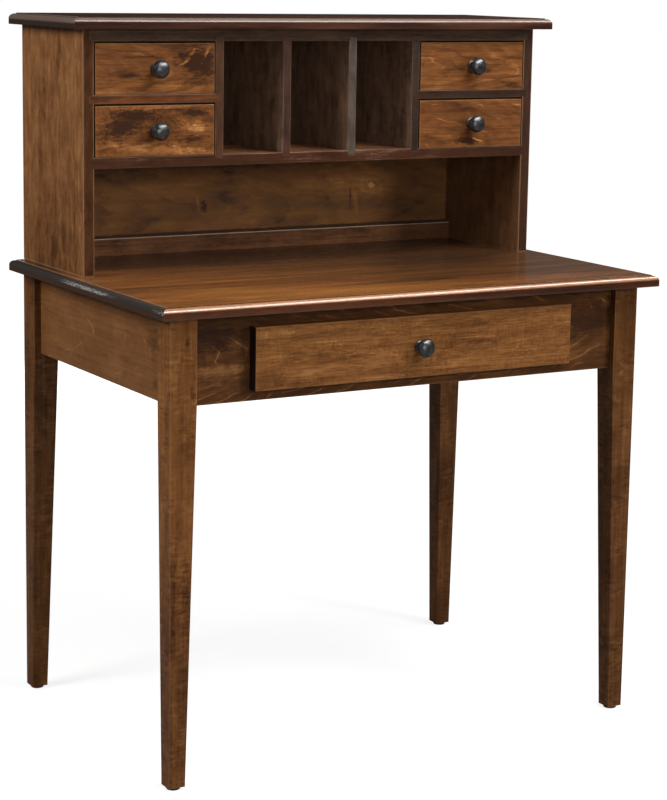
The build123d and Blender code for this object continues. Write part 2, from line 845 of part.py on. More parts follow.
write_pieces()
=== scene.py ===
"""A writing desk with a hutch, in brown stained maple with satin gunmetal knobs.

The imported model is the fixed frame, and every board, screw and knob keeps its place from it.
This file gives each piece its finish, makes the moulded tops and the turned knobs as fine
surfaces, and sets up a plain pale studio. Lengths are metres: +X to the sitter's right, +Y
towards the wall, +Z up.
"""

import logging
import math
from dataclasses import dataclass, replace
from enum import Enum
from typing import Any, Sequence

import bmesh
import bpy
import numpy as np
from mathutils import Matrix, Vector


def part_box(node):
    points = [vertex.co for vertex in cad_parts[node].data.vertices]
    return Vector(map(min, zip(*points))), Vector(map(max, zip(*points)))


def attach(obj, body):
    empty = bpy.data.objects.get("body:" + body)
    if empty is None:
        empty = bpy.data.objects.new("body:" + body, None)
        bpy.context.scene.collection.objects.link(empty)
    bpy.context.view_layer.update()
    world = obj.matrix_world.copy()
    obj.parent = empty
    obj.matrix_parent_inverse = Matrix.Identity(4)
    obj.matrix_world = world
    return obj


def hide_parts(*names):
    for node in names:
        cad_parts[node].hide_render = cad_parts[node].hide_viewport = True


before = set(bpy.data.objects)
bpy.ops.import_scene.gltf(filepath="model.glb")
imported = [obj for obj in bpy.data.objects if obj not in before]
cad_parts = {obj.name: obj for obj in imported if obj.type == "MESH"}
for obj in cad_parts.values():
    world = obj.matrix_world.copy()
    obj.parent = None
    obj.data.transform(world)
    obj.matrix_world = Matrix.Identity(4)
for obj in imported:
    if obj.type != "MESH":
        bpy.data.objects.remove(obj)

Colour = tuple[float, float, float]
Span = tuple[float, float]
LOG = logging.getLogger("desk")
MM = 0.001


# ---------------------------------------------------------------- shader arithmetic
class Signal:
    """One output of a shader node, used in plain arithmetic."""

    def __init__(self, shading: "Shading", socket: bpy.types.NodeSocket) -> None:
        """Keeps the output socket and the tree that it is in."""
        self.shading = shading
        self.socket = socket

    def _pair(self, operation: str, first: Any, second: Any) -> "Signal":
        """Adds the Math or Vector Math node for two operands."""
        kind = "ShaderNodeMath" if self.socket.type == "VALUE" else "ShaderNodeVectorMath"
        return self.shading.add(kind, {"operation": operation}, {0: first, 1: second})

    def __add__(self, other: Any) -> "Signal":
        """Sum."""
        return self._pair("ADD", self, other)

    def __radd__(self, other: Any) -> "Signal":
        """Sum, reflected."""
        return self._pair("ADD", other, self)

    def __sub__(self, other: Any) -> "Signal":
        """Difference."""
        return self._pair("SUBTRACT", self, other)

    def __rsub__(self, other: Any) -> "Signal":
        """Difference, reflected."""
        return self._pair("SUBTRACT", other, self)

    def __mul__(self, other: Any) -> "Signal":
        """Product."""
        return self._pair("MULTIPLY", self, other)

    def __rmul__(self, other: Any) -> "Signal":
        """Product, reflected."""
        return self._pair("MULTIPLY", other, self)

    def __truediv__(self, other: Any) -> "Signal":
        """Quotient."""
        return self._pair("DIVIDE", self, other)

    def __pow__(self, other: Any) -> "Signal":
        """Power."""
        return self._pair("POWER", self, other)

    def __mod__(self, other: Any) -> "Signal":
        """Remainder that is never negative."""
        return self._pair("FLOORED_MODULO", self, other)

    def least(self, other: Any) -> "Signal":
        """The smaller of two values."""
        return self._pair("MINIMUM", self, other)

    def most(self, other: Any) -> "Signal":
        """The larger of two values."""
        return self._pair("MAXIMUM", self, other)

    def one(self, operation: str) -> "Signal":
        """A Math function of this value alone, such as SINE or ABSOLUTE."""
        return self.shading.add("ShaderNodeMath", {"operation": operation}, {0: self})

    def ramp(self, low: float, high: float) -> "Signal":
        """Smooth step between two values.

        Args:
            low: the value at which the step is 0.
            high: the value at which the step is 1, which may be the smaller one.

        Returns:
            The step, from 0 to 1.
        """
        start, end, first, last = (low, high, 0.0, 1.0) if low < high else (high, low, 1.0, 0.0)
        return self.shading.add(
            "ShaderNodeMapRange",
            {"interpolation_type": "SMOOTHSTEP"},
            {"Value": self, "From Min": start, "From Max": end, "To Min": first, "To Max": last},
        )

    def clamped(self) -> "Signal":
        """The value kept between 0 and 1."""
        return self.shading.add("ShaderNodeClamp", {}, {"Value": self})


class Shading:
    """The node tree of one material, with one method that adds any node."""

    def __init__(self, name: str, tree: bpy.types.NodeTree | None = None) -> None:
        """Starts with an empty tree.

        Args:
            name: the name of the new material.
            tree: a tree to fill in place of a new material's, such as the world's.
        """
        if tree is None:
            self.material = bpy.data.materials.new(name)
            self.material.use_nodes = True
        self.tree = tree or self.material.node_tree
        self.tree.nodes.clear()

    def add(self, kind: str, settings: dict[str, Any], inputs: dict[Any, Any], output: Any = 0) -> Signal:
        """Adds a node.

        Args:
            kind: the node's type.
            settings: its properties, set first; stops are a ramp's positions and colours.
            inputs: values or signals for its sockets, by name or number.
            output: the socket that is returned.

        Returns:
            The signal of that output.
        """
        node = self.tree.nodes.new(kind)
        for key, value in settings.items():
            if key == "stops":
                self._set_stops(node.color_ramp, value)
            else:
                setattr(node, key, value)
        for key, value in inputs.items():
            self._feed(node.inputs[key], value)
        return Signal(self, node.outputs[output] if node.outputs else None)

    @staticmethod
    def _set_stops(ramp: bpy.types.ColorRamp, stops: Sequence[tuple[float, Colour]]) -> None:
        """Sets a ramp's stops.

        Args:
            ramp: the colour ramp.
            stops: positions and colours, from low to high.
        """
        while len(ramp.elements) < len(stops):
            ramp.elements.new(1.0)
        for element, (position, colour) in zip(ramp.elements, stops):
            element.position = position
            element.color = (*colour, 1.0)

    def _feed(self, socket: bpy.types.NodeSocket, value: Any) -> None:
        """Links a signal to a socket, or writes a value on it.

        Args:
            socket: the input socket.
            value: a signal, a number, or the numbers of a vector or a colour.
        """
        if isinstance(value, Signal):
            self.tree.links.new(value.socket, socket)
        elif socket.type == "RGBA":
            socket.default_value = (*value, 1.0)
        elif socket.type == "VECTOR" and isinstance(value, (int, float)):
            socket.default_value = (value, value, value)
        else:
            socket.default_value = value

    def object_place(self) -> Signal:
        """Object coordinates, which are the row frame at rest."""
        return self.add("ShaderNodeTexCoord", {}, {}, "Object")

    def parts(self, vector: Signal) -> tuple[Signal, Signal, Signal]:
        """Splits a vector.

        Args:
            vector: the signal to split.

        Returns:
            Its three numbers.
        """
        first = self.add("ShaderNodeSeparateXYZ", {}, {0: vector})
        node = first.socket.node
        return first, Signal(self, node.outputs[1]), Signal(self, node.outputs[2])

    def vector(self, x: Any, y: Any, z: Any) -> Signal:
        """A vector of three numbers."""
        return self.add("ShaderNodeCombineXYZ", {}, {0: x, 1: y, 2: z})

    def noise(self, place: Signal, detail: float = 2.0, rough: float = 0.5, swirl: float = 0.0) -> Signal:
        """Noise about zero, from -0.5 to 0.5, with one cell per unit of place."""
        inputs = {"Vector": place, "Scale": 1.0, "Detail": detail, "Roughness": rough, "Distortion": swirl}
        return self.add("ShaderNodeTexNoise", {}, inputs) - 0.5

    def blend(self, factor: Any, first: Any, second: Any, mode: str = "MIX") -> Signal:
        """Mixes two colours."""
        settings = {"data_type": "RGBA", "blend_type": mode, "clamp_factor": True}
        return self.add("ShaderNodeMix", settings, {0: factor, 6: first, 7: second}, 2)

    def length(self, vector: Signal) -> Signal:
        """The length of a vector."""
        return self.add("ShaderNodeVectorMath", {"operation": "LENGTH"}, {0: vector}, "Value")

    def bump(self, height: Signal, depth: float, strength: float = 1.0) -> Signal:
        """Surface normal from a height; depth is the relief of a height of one."""
        inputs = {"Height": height, "Distance": depth, "Strength": strength}
        return self.add("ShaderNodeBump", {}, inputs)

    def surface(self, inputs: dict[str, Any]) -> bpy.types.Material:
        """Closes the tree with a Principled surface.

        Args:
            inputs: values or signals for the surface's sockets.

        Returns:
            The finished material.
        """
        shader = self.add("ShaderNodeBsdfPrincipled", {}, inputs)
        self.add("ShaderNodeOutputMaterial", {}, {"Surface": shader})
        return self.material


# ---------------------------------------------------------------- wood
class Axis(Enum):
    """Row axis by its number."""

    X = 0
    Y = 1
    Z = 2


@dataclass(frozen=True)
class Mark:
    """A dark or pale patch on a board: figure such as a knot or a mineral streak, and on some boards painted
    shade and painted light.

    Its centre is in the row frame: along the grain, then across it on the board's face. Tone is
    added at its middle, so a negative one is dark. Tilt is in degrees. Soft is the share of its
    size over which it fades, and ragged is how broken its border is.
    """

    along: float
    across: float
    half_length: float
    half_width: float
    tone: float
    tilt: float = 0.0
    soft: float = 0.7
    ragged: float = 1.0


@dataclass(frozen=True)
class Figure:
    """How a board grew and was cut. Sizes are lengths, and depths are in tone, from 0 to 1."""

    ring_pitch: float = 0.007
    ring_depth: float = 0.30
    pale_ring_depth: float = 0.0
    pith_across: float = 0.0
    pith_behind: float = 0.06
    cone: float = 0.08
    wander: float = 0.007
    cloud_size: float = 0.05
    cloud_stretch: float = 2.5
    cloud_depth: float = 0.8
    streak_width: float = 0.006
    streak_depth: float = 0.5
    dash_length: float = 0.016
    dash_width: float = 0.0028
    dash_depth: float = 0.5
    curl_pitch: float = 0.008
    curl_depth: float = 0.0
    burl_size: float = 0.02
    burl_depth: float = 0.0
    fleck_depth: float = 0.0
    fibre_depth: float = 0.35
    plank_width: float = 0.0
    plank_depth: float = 0.20
    glue_width: float = 0.6 * MM
    glue_depth: float = 0.15
    contrast: float = 1.5


@dataclass(frozen=True)
class Stain:
    """Brown stain from its darkest to its palest tone, under a clear satin lacquer.

    Cast multiplies the stain in patches. Wear_and_highlight is the colour of rubbed edges, and on
    the back rail's top edge a painted highlight; rub_and_highlight is how far edges take it. Relief
    is how deep the pores are. On a moulded board, flat_painted_reflection, flat_coat and
    flat_roughness are the flat's tint, which on the hutch top is a painted dark reflection, the
    share of the coat that it keeps and its further roughness; shoulder is the paler colour of the
    round, part wear and part painted highlight; and chip and chipped are the colour and the
    strength of the chips on the ends.
    """

    dark: Colour
    deep: Colour
    middle: Colour
    light: Colour
    pale: Colour
    cast: Colour
    end_grain: Colour
    edge_tint: Colour = (0.45, 0.40, 0.42)
    wear_and_highlight: Colour = (0.230, 0.110, 0.045)
    cast_share: float = 0.35
    rub_and_highlight: float = 0.35
    roughness: float = 0.36
    roughness_spread: float = 0.12
    worn_roughness: float = 0.06
    end_roughness: float = 0.30
    relief: float = 0.12 * MM
    specular: float = 0.09
    coat: float = 0.02
    coat_roughness: float = 0.16
    flat_painted_reflection: Colour | None = None
    flat_coat: float = 0.5
    flat_roughness: float = 0.0
    # The round's shoulder colour is part wear and part painted highlight.
    shoulder: Colour = (0.300, 0.150, 0.075)
    chip: Colour = (0.36, 0.33, 0.29)
    chipped: float = 0.0

    def stops(self) -> tuple[tuple[float, Colour], ...]:
        """The ramp from tone to colour."""
        colours = (self.dark, self.deep, self.middle, self.light, self.pale)
        return tuple(zip((0.04, 0.27, 0.5, 0.73, 0.96), colours))


@dataclass(frozen=True)
class Board:
    """A board's node, the axis its grain runs along and the axis that its show face looks along.

    Faces that look along edge_axis take the stain's edge tint. Mould is the width of a moulded
    border, whose ends are the board's end grain. With painted_top_highlight, only the upper edges
    take the pale edge colour, which there is a painted highlight, and with front_marks the marks
    show on the front face alone.
    """

    node: str
    grain: Axis
    face: Axis
    seed: float = 0.0
    marks: tuple[Mark, ...] = ()
    edge_axis: Axis | None = None
    mould: float = 0.0
    painted_top_highlight: bool = False
    front_marks: bool = False

    def across(self) -> Axis:
        """The axis across the grain on the show face."""
        return next(axis for axis in Axis if axis not in (self.grain, self.face))


@dataclass(frozen=True)
class Cells:
    """A noise on a board: its cells' sizes along and across the grain, and its place in the field.

    Detail, rough and swirl are the noise's own settings.
    """

    along: float
    across: float
    shift: float
    detail: float = 2.0
    rough: float = 0.5
    swirl: float = 0.0


class Grain:
    """The noises that every board shares."""

    FIBRE = Cells(0.05, 0.0012, 2.0, 3.0, 0.65)
    PORES = Cells(0.012, 0.0008, 8.0)
    RING_WARP = Cells(0.20, 0.05, 3.0)
    RING_RIPPLE = Cells(0.04, 0.014, 5.0)
    RING_STRENGTH = Cells(0.10, 0.03, 9.0)
    PALE_RING_PATCHES = Cells(0.05, 0.03, 10.0)
    CURL_PATCHES = Cells(0.05, 0.03, 13.0, 1.0)
    FLECKS = Cells(0.0075, 0.0042, 27.0, 2.0, 0.55)
    FLECK_PATCHES = Cells(0.045, 0.03, 28.0, 1.0)
    MARK_BORDER = Cells(0.012, 0.005, 21.0, 5.0, 0.7)
    MARK_BORDER_SIDEWAYS = Cells(0.018, 0.007, 22.0, 5.0, 0.7)
    ARRIS_BORDER = Cells(0.03, 0.006, 25.0, 3.0, 0.6)
    CAST = Cells(0.25, 0.025, 6.0)
    END_SPECKS = Cells(0.004, 0.004, 31.0, 4.0, 0.7)


@dataclass(frozen=True)
class BorderWearAndPaintedLight:
    """Where a moulded border is rubbed and chipped, and where painted highlight and painted shade go on it.

    Each span runs from where an effect is nothing to where it is full. Those up to chips_bottom
    are depths below the flat. From_centre and from_corner are distances on an end, from its
    chipped centre and from its front corner. Line_start and line_end are distances in from the
    moulding's inner line. Mitre is how softly a long edge passes into an end, inner_line is how
    softly an end passes into the flat, and wear_cells are the sizes of the wear's noise.
    """

    flat: Span = (0.9 * MM, 0.4 * MM)
    round_end: Span = (12.0 * MM, 10.0 * MM)
    under: Span = (8.0 * MM, 12.0 * MM)
    step: Span = (2.8 * MM, 1.6 * MM)
    chips_top: Span = (4.0 * MM, 5.5 * MM)
    chips_bottom: Span = (11.5 * MM, 8.5 * MM)
    from_centre: Span = (160.0 * MM, 40.0 * MM)
    from_corner: Span = (60.0 * MM, 10.0 * MM)
    line_start: Span = (-0.1 * MM, 0.1 * MM)
    line_end: Span = (1.4 * MM, 0.6 * MM)
    mitre: Span = (-0.3 * MM, 0.3 * MM)
    inner_line: float = 0.2 * MM
    chipped_centre: float = -15.0 * MM
    wear_cells: tuple[float, float, float] = (30.0 * MM, 6.0 * MM, 1.6 * MM)


@dataclass(frozen=True)
class EdgeWearAndHighlight:
    """Where edges are rubbed, and where a top edge takes a painted highlight: distances in from the
    edge, and down from the board's top.

    Each span runs from where the wear is nothing to where it is full. Uneven is how far its
    border wanders.
    """

    reach: Span = (2.4 * MM, 0.6 * MM)
    uneven: float = 1.6 * MM
    upper: Span = (4.0 * MM, 3.0 * MM)


BORDER = BorderWearAndPaintedLight()
EDGE = EdgeWearAndHighlight()


class WoodShader:
    """Builds the material of one board from its figure and its stain."""

    def __init__(self, board: Board, figure: Figure, stain: Stain) -> None:
        """Splits the place on the board into numbers along, across and behind its face.

        Args:
            board: the board.
            figure: its figure.
            stain: its stain.
        """
        self.board = board
        self.figure = figure
        self.stain = stain
        self.shading = Shading("wood_" + board.node)
        self.low, self.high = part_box(board.node)
        self.numbers = self.shading.parts(self.shading.object_place())
        self.along = self.numbers[board.grain.value]
        self.over = self.numbers[board.across().value]
        self.behind = self.numbers[board.face.value]
        self.plank: Any = 0.0
        if figure.plank_width:
            self.strip = self.over / figure.plank_width + (0.31 + board.seed)
            self.plank = self.strip.one("FLOOR")

    def _middle(self, axis: Axis) -> float:
        """Middle of the board along an axis."""
        return (self.low[axis.value] + self.high[axis.value]) / 2

    def _drop(self) -> Signal:
        """Depth below the board's top."""
        return self.high[2] - self.numbers[2]

    def _inside(self, axis: Axis) -> Signal:
        """Distance in from the nearer of the board's two faces across an axis."""
        half = (self.high[axis.value] - self.low[axis.value]) / 2
        return half - (self.numbers[axis.value] - self._middle(axis)).one("ABSOLUTE")

    def _noise(self, cells: Cells) -> Signal:
        """Noise whose cells lie along the grain, with another part of it on each plank.

        Args:
            cells: sizes and settings of the noise.

        Returns:
            The noise, from -0.5 to 0.5.
        """
        seed = self.board.seed + cells.shift
        place = self.shading.vector(
            self.along / cells.along + (self.plank * 3.1 + seed),
            self.over / cells.across + (self.plank * 7.3 + seed * 1.7),
            self.behind / cells.across + seed * 2.3,
        )
        return self.shading.noise(place, cells.detail, cells.rough, cells.swirl)

    def _rings(self) -> Signal:
        """Growth rings: the distance from a slowly opening cone about the pith, cut to a saw.

        The late wood is a soft dark band at the end of each tooth. Where the figure asks for it,
        a thin pale line runs through the middle of the tooth.

        Returns:
            The rings' share of the tone.
        """
        shape = self.figure
        warp = self._noise(Grain.RING_WARP) * (2.4 * shape.wander)
        ripple = self._noise(Grain.RING_RIPPLE) * (0.7 * shape.wander)
        over = self.over - (self._middle(self.board.across()) + shape.pith_across) + warp
        if shape.plank_width:
            over = over + (self.plank * 2.399).one("SINE") * (0.4 * shape.plank_width)
        behind = self.behind - (self._middle(self.board.face) + shape.pith_behind)
        opening = (self.along - self._middle(self.board.grain)) * shape.cone
        radius = (over * over + behind * behind).one("SQRT") + opening + ripple
        tooth = (radius / shape.ring_pitch + self.board.seed) % 1.0
        strength = (self._noise(Grain.RING_STRENGTH) * 3.0 + 0.6).clamped()
        tone = tooth**3.0 * tooth.ramp(1.0, 0.88) * strength * (-shape.ring_depth)
        if shape.pale_ring_depth:
            line = (tooth - 0.45).one("ABSOLUTE").ramp(0.001 / shape.ring_pitch, 0.0)
            shown = self._noise(Grain.PALE_RING_PATCHES).ramp(-0.02, 0.10)
            tone = tone + line * shown * shape.pale_ring_depth
        return tone

    def _curl(self) -> Signal:
        """Curly figure: uneven bars across the grain that come and go.

        Returns:
            The curl's share of the tone.
        """
        pitch = self.figure.curl_pitch
        bars = self._noise(Cells(pitch, pitch * 3.5, 11.0, 2.0, 0.5, 0.5))
        patches = (self._noise(Grain.CURL_PATCHES) * 3.0 + 0.55).clamped()
        return bars * patches * self.figure.curl_depth

    def _burl(self) -> Signal:
        """Wild figure: strongly folded noise, dark in its hollows and amber on its crests.

        Returns:
            The burl's share of the tone.
        """
        size = self.figure.burl_size
        folded = self._noise(Cells(size * 1.6, size, 17.0, 5.0, 0.62, 1.7))
        return (folded.ramp(0.06, 0.20) * 0.6 - folded.ramp(0.0, -0.13)) * self.figure.burl_depth

    def _flecks(self) -> Signal:
        """Bird's eyes: small dark and amber flecks, gathered in patches.

        Returns:
            The flecks' share of the tone.
        """
        fleck = self._noise(Grain.FLECKS)
        patch = self._noise(Grain.FLECK_PATCHES).ramp(-0.04, 0.10)
        return (fleck.ramp(0.08, 0.20) - fleck.ramp(-0.08, -0.20)) * patch * self.figure.fleck_depth

    def _marks(self) -> Signal:
        """The board's own marks, each with a border that is ragged by a share of its size.

        Returns:
            All the marks as one tone.
        """
        first, second = self._noise(Grain.MARK_BORDER), self._noise(Grain.MARK_BORDER_SIDEWAYS)
        ragged = self.shading.vector(first * 2.2, second * 2.2, 0.0)
        flat = self.shading.vector(self.along, self.over, 0.0)
        total: Any = 0.0
        for mark in self.board.marks:
            place = {
                "Vector": flat,
                "Location": (mark.along, mark.across, 0.0),
                "Rotation": (0.0, 0.0, math.radians(mark.tilt)),
                "Scale": (mark.half_length, mark.half_width, 1.0),
            }
            local = self.shading.add("ShaderNodeMapping", {"vector_type": "TEXTURE"}, place)
            reach = self.shading.length(local + ragged * mark.ragged)
            total = reach.ramp(1.0, 1.0 - mark.soft) * mark.tone + total
        if self.board.front_marks:
            middle = self._middle(Axis.Y)
            total = self.numbers[1].ramp(middle + MM, middle - MM) * total
        return total

    def _arris(self) -> Signal:
        """Wear of the edges; with painted_top_highlight, a painted highlight on the upper edges alone.

        On a box, the distance to the nearest edge is the middle one of the three distances to its
        pairs of faces.

        Returns:
            1 on the board's edges and 0 away from them.
        """
        first, second, third = (self._inside(axis) for axis in Axis)
        middle = first.least(second).most(first.most(second).least(third))
        arris = (middle + self._noise(Grain.ARRIS_BORDER) * EDGE.uneven).ramp(*EDGE.reach)
        if self.board.painted_top_highlight:
            arris = arris * self._drop().ramp(*EDGE.upper)
        return arris

    def _facing(self, axis: Axis, start: float = 0.35, full: float = 0.95) -> Signal:
        """1 where the surface looks along an axis, either way."""
        normal = self.shading.add("ShaderNodeNewGeometry", {}, {}, "Normal")
        return self.shading.parts(normal)[axis.value].one("ABSOLUTE").ramp(start, full)

    def _tone(self, cloud: Signal, fibre: Signal) -> Signal:
        """Everything that darkens or lightens the wood.

        Args:
            cloud: broad soft noise.
            fibre: fine noise along the grain.

        Returns:
            The tone, from 0 for dark to 1 for pale.
        """
        shape = self.figure
        streak = self._noise(Cells(0.30, shape.streak_width, 4.0, 3.0, 0.55))
        dash = self._noise(Cells(shape.dash_length, shape.dash_width, 7.0, 3.0, 0.6, 0.3))
        tone = cloud * shape.cloud_depth + fibre * shape.fibre_depth + 0.02
        tone = tone + streak * shape.streak_depth + dash * shape.dash_depth + self._rings()
        if shape.curl_depth:
            tone = tone + self._curl()
        if shape.burl_depth:
            tone = tone + self._burl()
        if shape.fleck_depth:
            tone = tone + self._flecks()
        if shape.plank_width:
            from_middle = ((self.strip % 1.0) - 0.5).one("ABSOLUTE")
            glue_line = from_middle.ramp(0.5 - shape.glue_width / shape.plank_width, 0.5)
            tone = tone + (self.plank * 1.7 + self.board.seed).one("SINE") * (shape.plank_depth / 2)
            tone = tone - glue_line * shape.glue_depth
        tone = tone * shape.contrast + 0.5
        if self.board.marks:
            tone = tone + self._marks() * 1.2
        return tone.clamped()

    def _end_colour(self) -> Signal:
        """End grain, with a few pale specks where the finish is thin."""
        specks = self._noise(Grain.END_SPECKS).ramp(0.12, 0.3) * 0.22
        return self.shading.blend(specks, self.stain.end_grain, self.stain.middle)

    def _past_mitre(self, gap: Signal) -> Signal:
        """1 where the nearest edge of the board is one of its ends."""
        return (self._inside(self.board.across()) - gap).ramp(*BORDER.mitre)

    def _ends(self) -> Signal:
        """End grain, which on a moulded board is the moulding of its ends as far as the mitre.

        Returns:
            1 on end grain.
        """
        if not self.board.mould:
            return self._facing(self.board.grain)
        gap = self._inside(self.board.grain)
        beyond = gap - self.board.mould
        return beyond.ramp(BORDER.inner_line, -BORDER.inner_line) * self._past_mitre(gap)

    def _with_border_wear_and_painted_light(self, colour: Signal, ends: Signal, flat: Signal) -> Signal:
        """Tints a moulded board's flat, which on the hutch top is a painted dark reflection, pales its
        round with wear and painted highlight, puts painted shade on the lower part and the step of its
        ends, and chips them.

        Args:
            colour: the board's colour so far.
            ends: 1 on end grain.
            flat: 1 on the flat.

        Returns:
            The finished colour.
        """
        stain, shading, drop = self.stain, self.shading, self._drop()
        along, across, down = BORDER.wear_cells
        place = shading.vector(self.along / along, self.over / across, self.behind / down)
        wear = shading.noise(place, 4.0, 0.7)
        # The pale round is part wear and part painted highlight.
        round_part = self._facing(Axis.Z, 0.06, 0.45) * drop.ramp(*BORDER.round_end)
        shoulder = round_part * (1.0 - flat) * (1.0 - ends)
        colour = shading.blend(shoulder * (wear + 0.75).clamped(), colour, stain.shoulder)
        # On the hutch top, the flat's tint is a painted dark reflection.
        if stain.flat_painted_reflection:
            colour = shading.blend(flat, colour, stain.flat_painted_reflection, "MULTIPLY")
        # Painted shade on the lower part of the ends and in their step.
        colour = shading.blend(drop.ramp(*BORDER.under) * ends * 0.85, colour, stain.dark)
        colour = shading.blend(drop.ramp(*BORDER.step) * ends * 0.7, colour, stain.dark)
        centre = (self.over - BORDER.chipped_centre).one("ABSOLUTE").ramp(*BORDER.from_centre)
        corner = (self.over - self.low[self.board.across().value]).ramp(*BORDER.from_corner)
        band = drop.ramp(*BORDER.chips_top) * drop.ramp(*BORDER.chips_bottom) * ends
        chips = band * (centre.most(corner * 0.8) * 0.22 + wear).ramp(0.15, 0.28) * stain.chipped
        colour = shading.blend(chips, colour, stain.chip)
        gap = self._inside(self.board.grain)
        beyond = gap - self.board.mould
        line = beyond.ramp(*BORDER.line_start) * beyond.ramp(*BORDER.line_end)
        line = line * self._past_mitre(gap) * self.along.ramp(0.0, -0.1)
        return shading.blend(line * (wear * 1.5 + 0.7).clamped() * 0.8, colour, stain.wear_and_highlight)

    def _colour(self, tone: Signal, arris: Signal, ends: Signal) -> Signal:
        """Stain by tone, then its casts, edges and ends.

        Args:
            tone: from 0 for dark to 1 for pale.
            arris: 1 on rubbed edges and on painted top highlights.
            ends: 1 on end grain.

        Returns:
            The colour of the wood.
        """
        stain, shading = self.stain, self.shading
        colour = shading.add("ShaderNodeValToRGB", {"stops": stain.stops()}, {"Fac": tone})
        cast = self._noise(Grain.CAST).ramp(-0.08, 0.18) * stain.cast_share
        colour = shading.blend(cast, colour, stain.cast, "MULTIPLY")
        if self.board.edge_axis is not None:
            edge = self._facing(self.board.edge_axis, 0.75)
            colour = shading.blend(edge, colour, stain.edge_tint, "MULTIPLY")
        colour = shading.blend(arris * stain.rub_and_highlight, colour, stain.wear_and_highlight)
        return shading.blend(ends, colour, self._end_colour())

    def build(self) -> bpy.types.Material:
        """Adds all the nodes.

        Returns:
            The finished material.
        """
        shape, stain, shading = self.figure, self.stain, self.shading
        size = shape.cloud_size
        cloud = self._noise(Cells(size * shape.cloud_stretch, size, 1.0, 4.0, 0.6, 0.5))
        fibre = self._noise(Grain.FIBRE)
        arris = self._arris()
        ends = self._ends()
        colour = self._colour(self._tone(cloud, fibre), arris, ends)
        rough = fibre * stain.roughness_spread + cloud * (stain.roughness_spread / 2) + stain.roughness
        coated = (1.0 - ends) * stain.coat
        if self.board.mould:
            flat = self._drop().ramp(*BORDER.flat)
            colour = self._with_border_wear_and_painted_light(colour, ends, flat)
            coated = coated * (1.0 - flat * (1.0 - stain.flat_coat))
            rough = rough + flat * stain.flat_roughness
        pores = self._noise(Grain.PORES).ramp(-0.16, -0.28)
        return shading.surface(
            {
                "Base Color": colour,
                "Roughness": rough + arris * stain.worn_roughness + ends * stain.end_roughness,
                "Specular IOR Level": stain.specular,
                "Coat Weight": coated,
                "Coat Roughness": stain.coat_roughness,
                "Normal": shading.bump(fibre * 0.5 - pores * 0.6, stain.relief, 0.6),
            }
        )


def dress(board: Board, figure: Figure, stain: Stain, piece: bpy.types.Object | None = None) -> None:
    """Gives a board its wood.

    Args:
        board: the board.
        figure: its figure.
        stain: its stain.
        piece: the piece that stands for its node, where there is one.
    """
    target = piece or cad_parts[board.node]
    target.data.materials.clear()
    target.data.materials.append(WoodShader(board, figure, stain).build())
    LOG.info("dressed %s", target.name)


# ---------------------------------------------------------------- the finishes of this desk
FRONT_STAIN = Stain(
    dark=(0.032, 0.013, 0.006),
    deep=(0.076, 0.028, 0.009),
    middle=(0.138, 0.051, 0.0145),
    light=(0.228, 0.094, 0.028),
    pale=(0.400, 0.190, 0.065),
    cast=(0.86, 0.80, 0.92),
    end_grain=(0.022, 0.010, 0.006),
)
FACE_STAIN = replace(
    FRONT_STAIN, dark=(0.052, 0.019, 0.006), deep=(0.098, 0.037, 0.011), middle=(0.154, 0.061, 0.017),
    light=(0.224, 0.096, 0.029), pale=(0.320, 0.154, 0.056),
)
SIDE_STAIN = Stain(
    dark=(0.050, 0.020, 0.007),
    deep=(0.095, 0.038, 0.013),
    middle=(0.142, 0.060, 0.021),
    light=(0.195, 0.090, 0.033),
    pale=(0.270, 0.135, 0.055),
    cast=(0.94, 0.80, 0.95),
    end_grain=(0.025, 0.014, 0.010),
    edge_tint=(0.36, 0.31, 0.29),
    wear_and_highlight=(0.300, 0.165, 0.095),
)
TOP_STAIN = Stain(
    dark=(0.034, 0.016, 0.008),
    deep=(0.064, 0.026, 0.009),
    middle=(0.116, 0.042, 0.012),
    light=(0.200, 0.076, 0.019),
    pale=(0.310, 0.128, 0.034),
    cast=(0.88, 0.80, 0.90),
    end_grain=(0.024, 0.021, 0.019),
    edge_tint=(0.40, 0.29, 0.26),
    wear_and_highlight=(0.340, 0.200, 0.120),
    rub_and_highlight=0.0,
    roughness=0.27,
    roughness_spread=0.08,
    specular=0.30,
    coat=0.55,
    coat_roughness=0.10,
    chipped=0.75,
)
# The hutch top's darker colours and its flat's blue-grey tint are a painted dark reflection along the top.
HUTCH_TOP_STAIN = replace(
    TOP_STAIN, dark=(0.012, 0.007, 0.005), deep=(0.030, 0.014, 0.009), middle=(0.055, 0.024, 0.014),
    light=(0.085, 0.038, 0.022), pale=(0.130, 0.062, 0.035), end_grain=(0.085, 0.057, 0.045),
    edge_tint=(0.60, 0.50, 0.50), wear_and_highlight=(0.160, 0.150, 0.140), flat_painted_reflection=(0.30, 0.34, 0.40),
    flat_coat=0.0, flat_roughness=0.3, shoulder=(0.140, 0.095, 0.074), roughness=0.34, specular=0.06,
    coat=0.45, chipped=0.10,
)
LEG_STAIN = Stain(
    dark=(0.040, 0.014, 0.004),
    deep=(0.085, 0.031, 0.009),
    middle=(0.138, 0.053, 0.015),
    light=(0.190, 0.079, 0.023),
    pale=(0.255, 0.115, 0.037),
    cast=(0.90, 0.86, 0.95),
    end_grain=(0.025, 0.013, 0.009),
)
APRON_STAIN = Stain(
    dark=(0.022, 0.010, 0.006),
    deep=(0.040, 0.016, 0.007),
    middle=(0.065, 0.025, 0.008),
    light=(0.110, 0.044, 0.014),
    pale=(0.190, 0.085, 0.030),
    cast=(0.88, 0.84, 0.95),
    end_grain=(0.020, 0.010, 0.007),
)
SIDE_APRON_STAIN = replace(
    APRON_STAIN, dark=(0.055, 0.021, 0.008), deep=(0.095, 0.038, 0.013), middle=(0.130, 0.054, 0.018),
    light=(0.170, 0.075, 0.027), pale=(0.250, 0.122, 0.050),
)
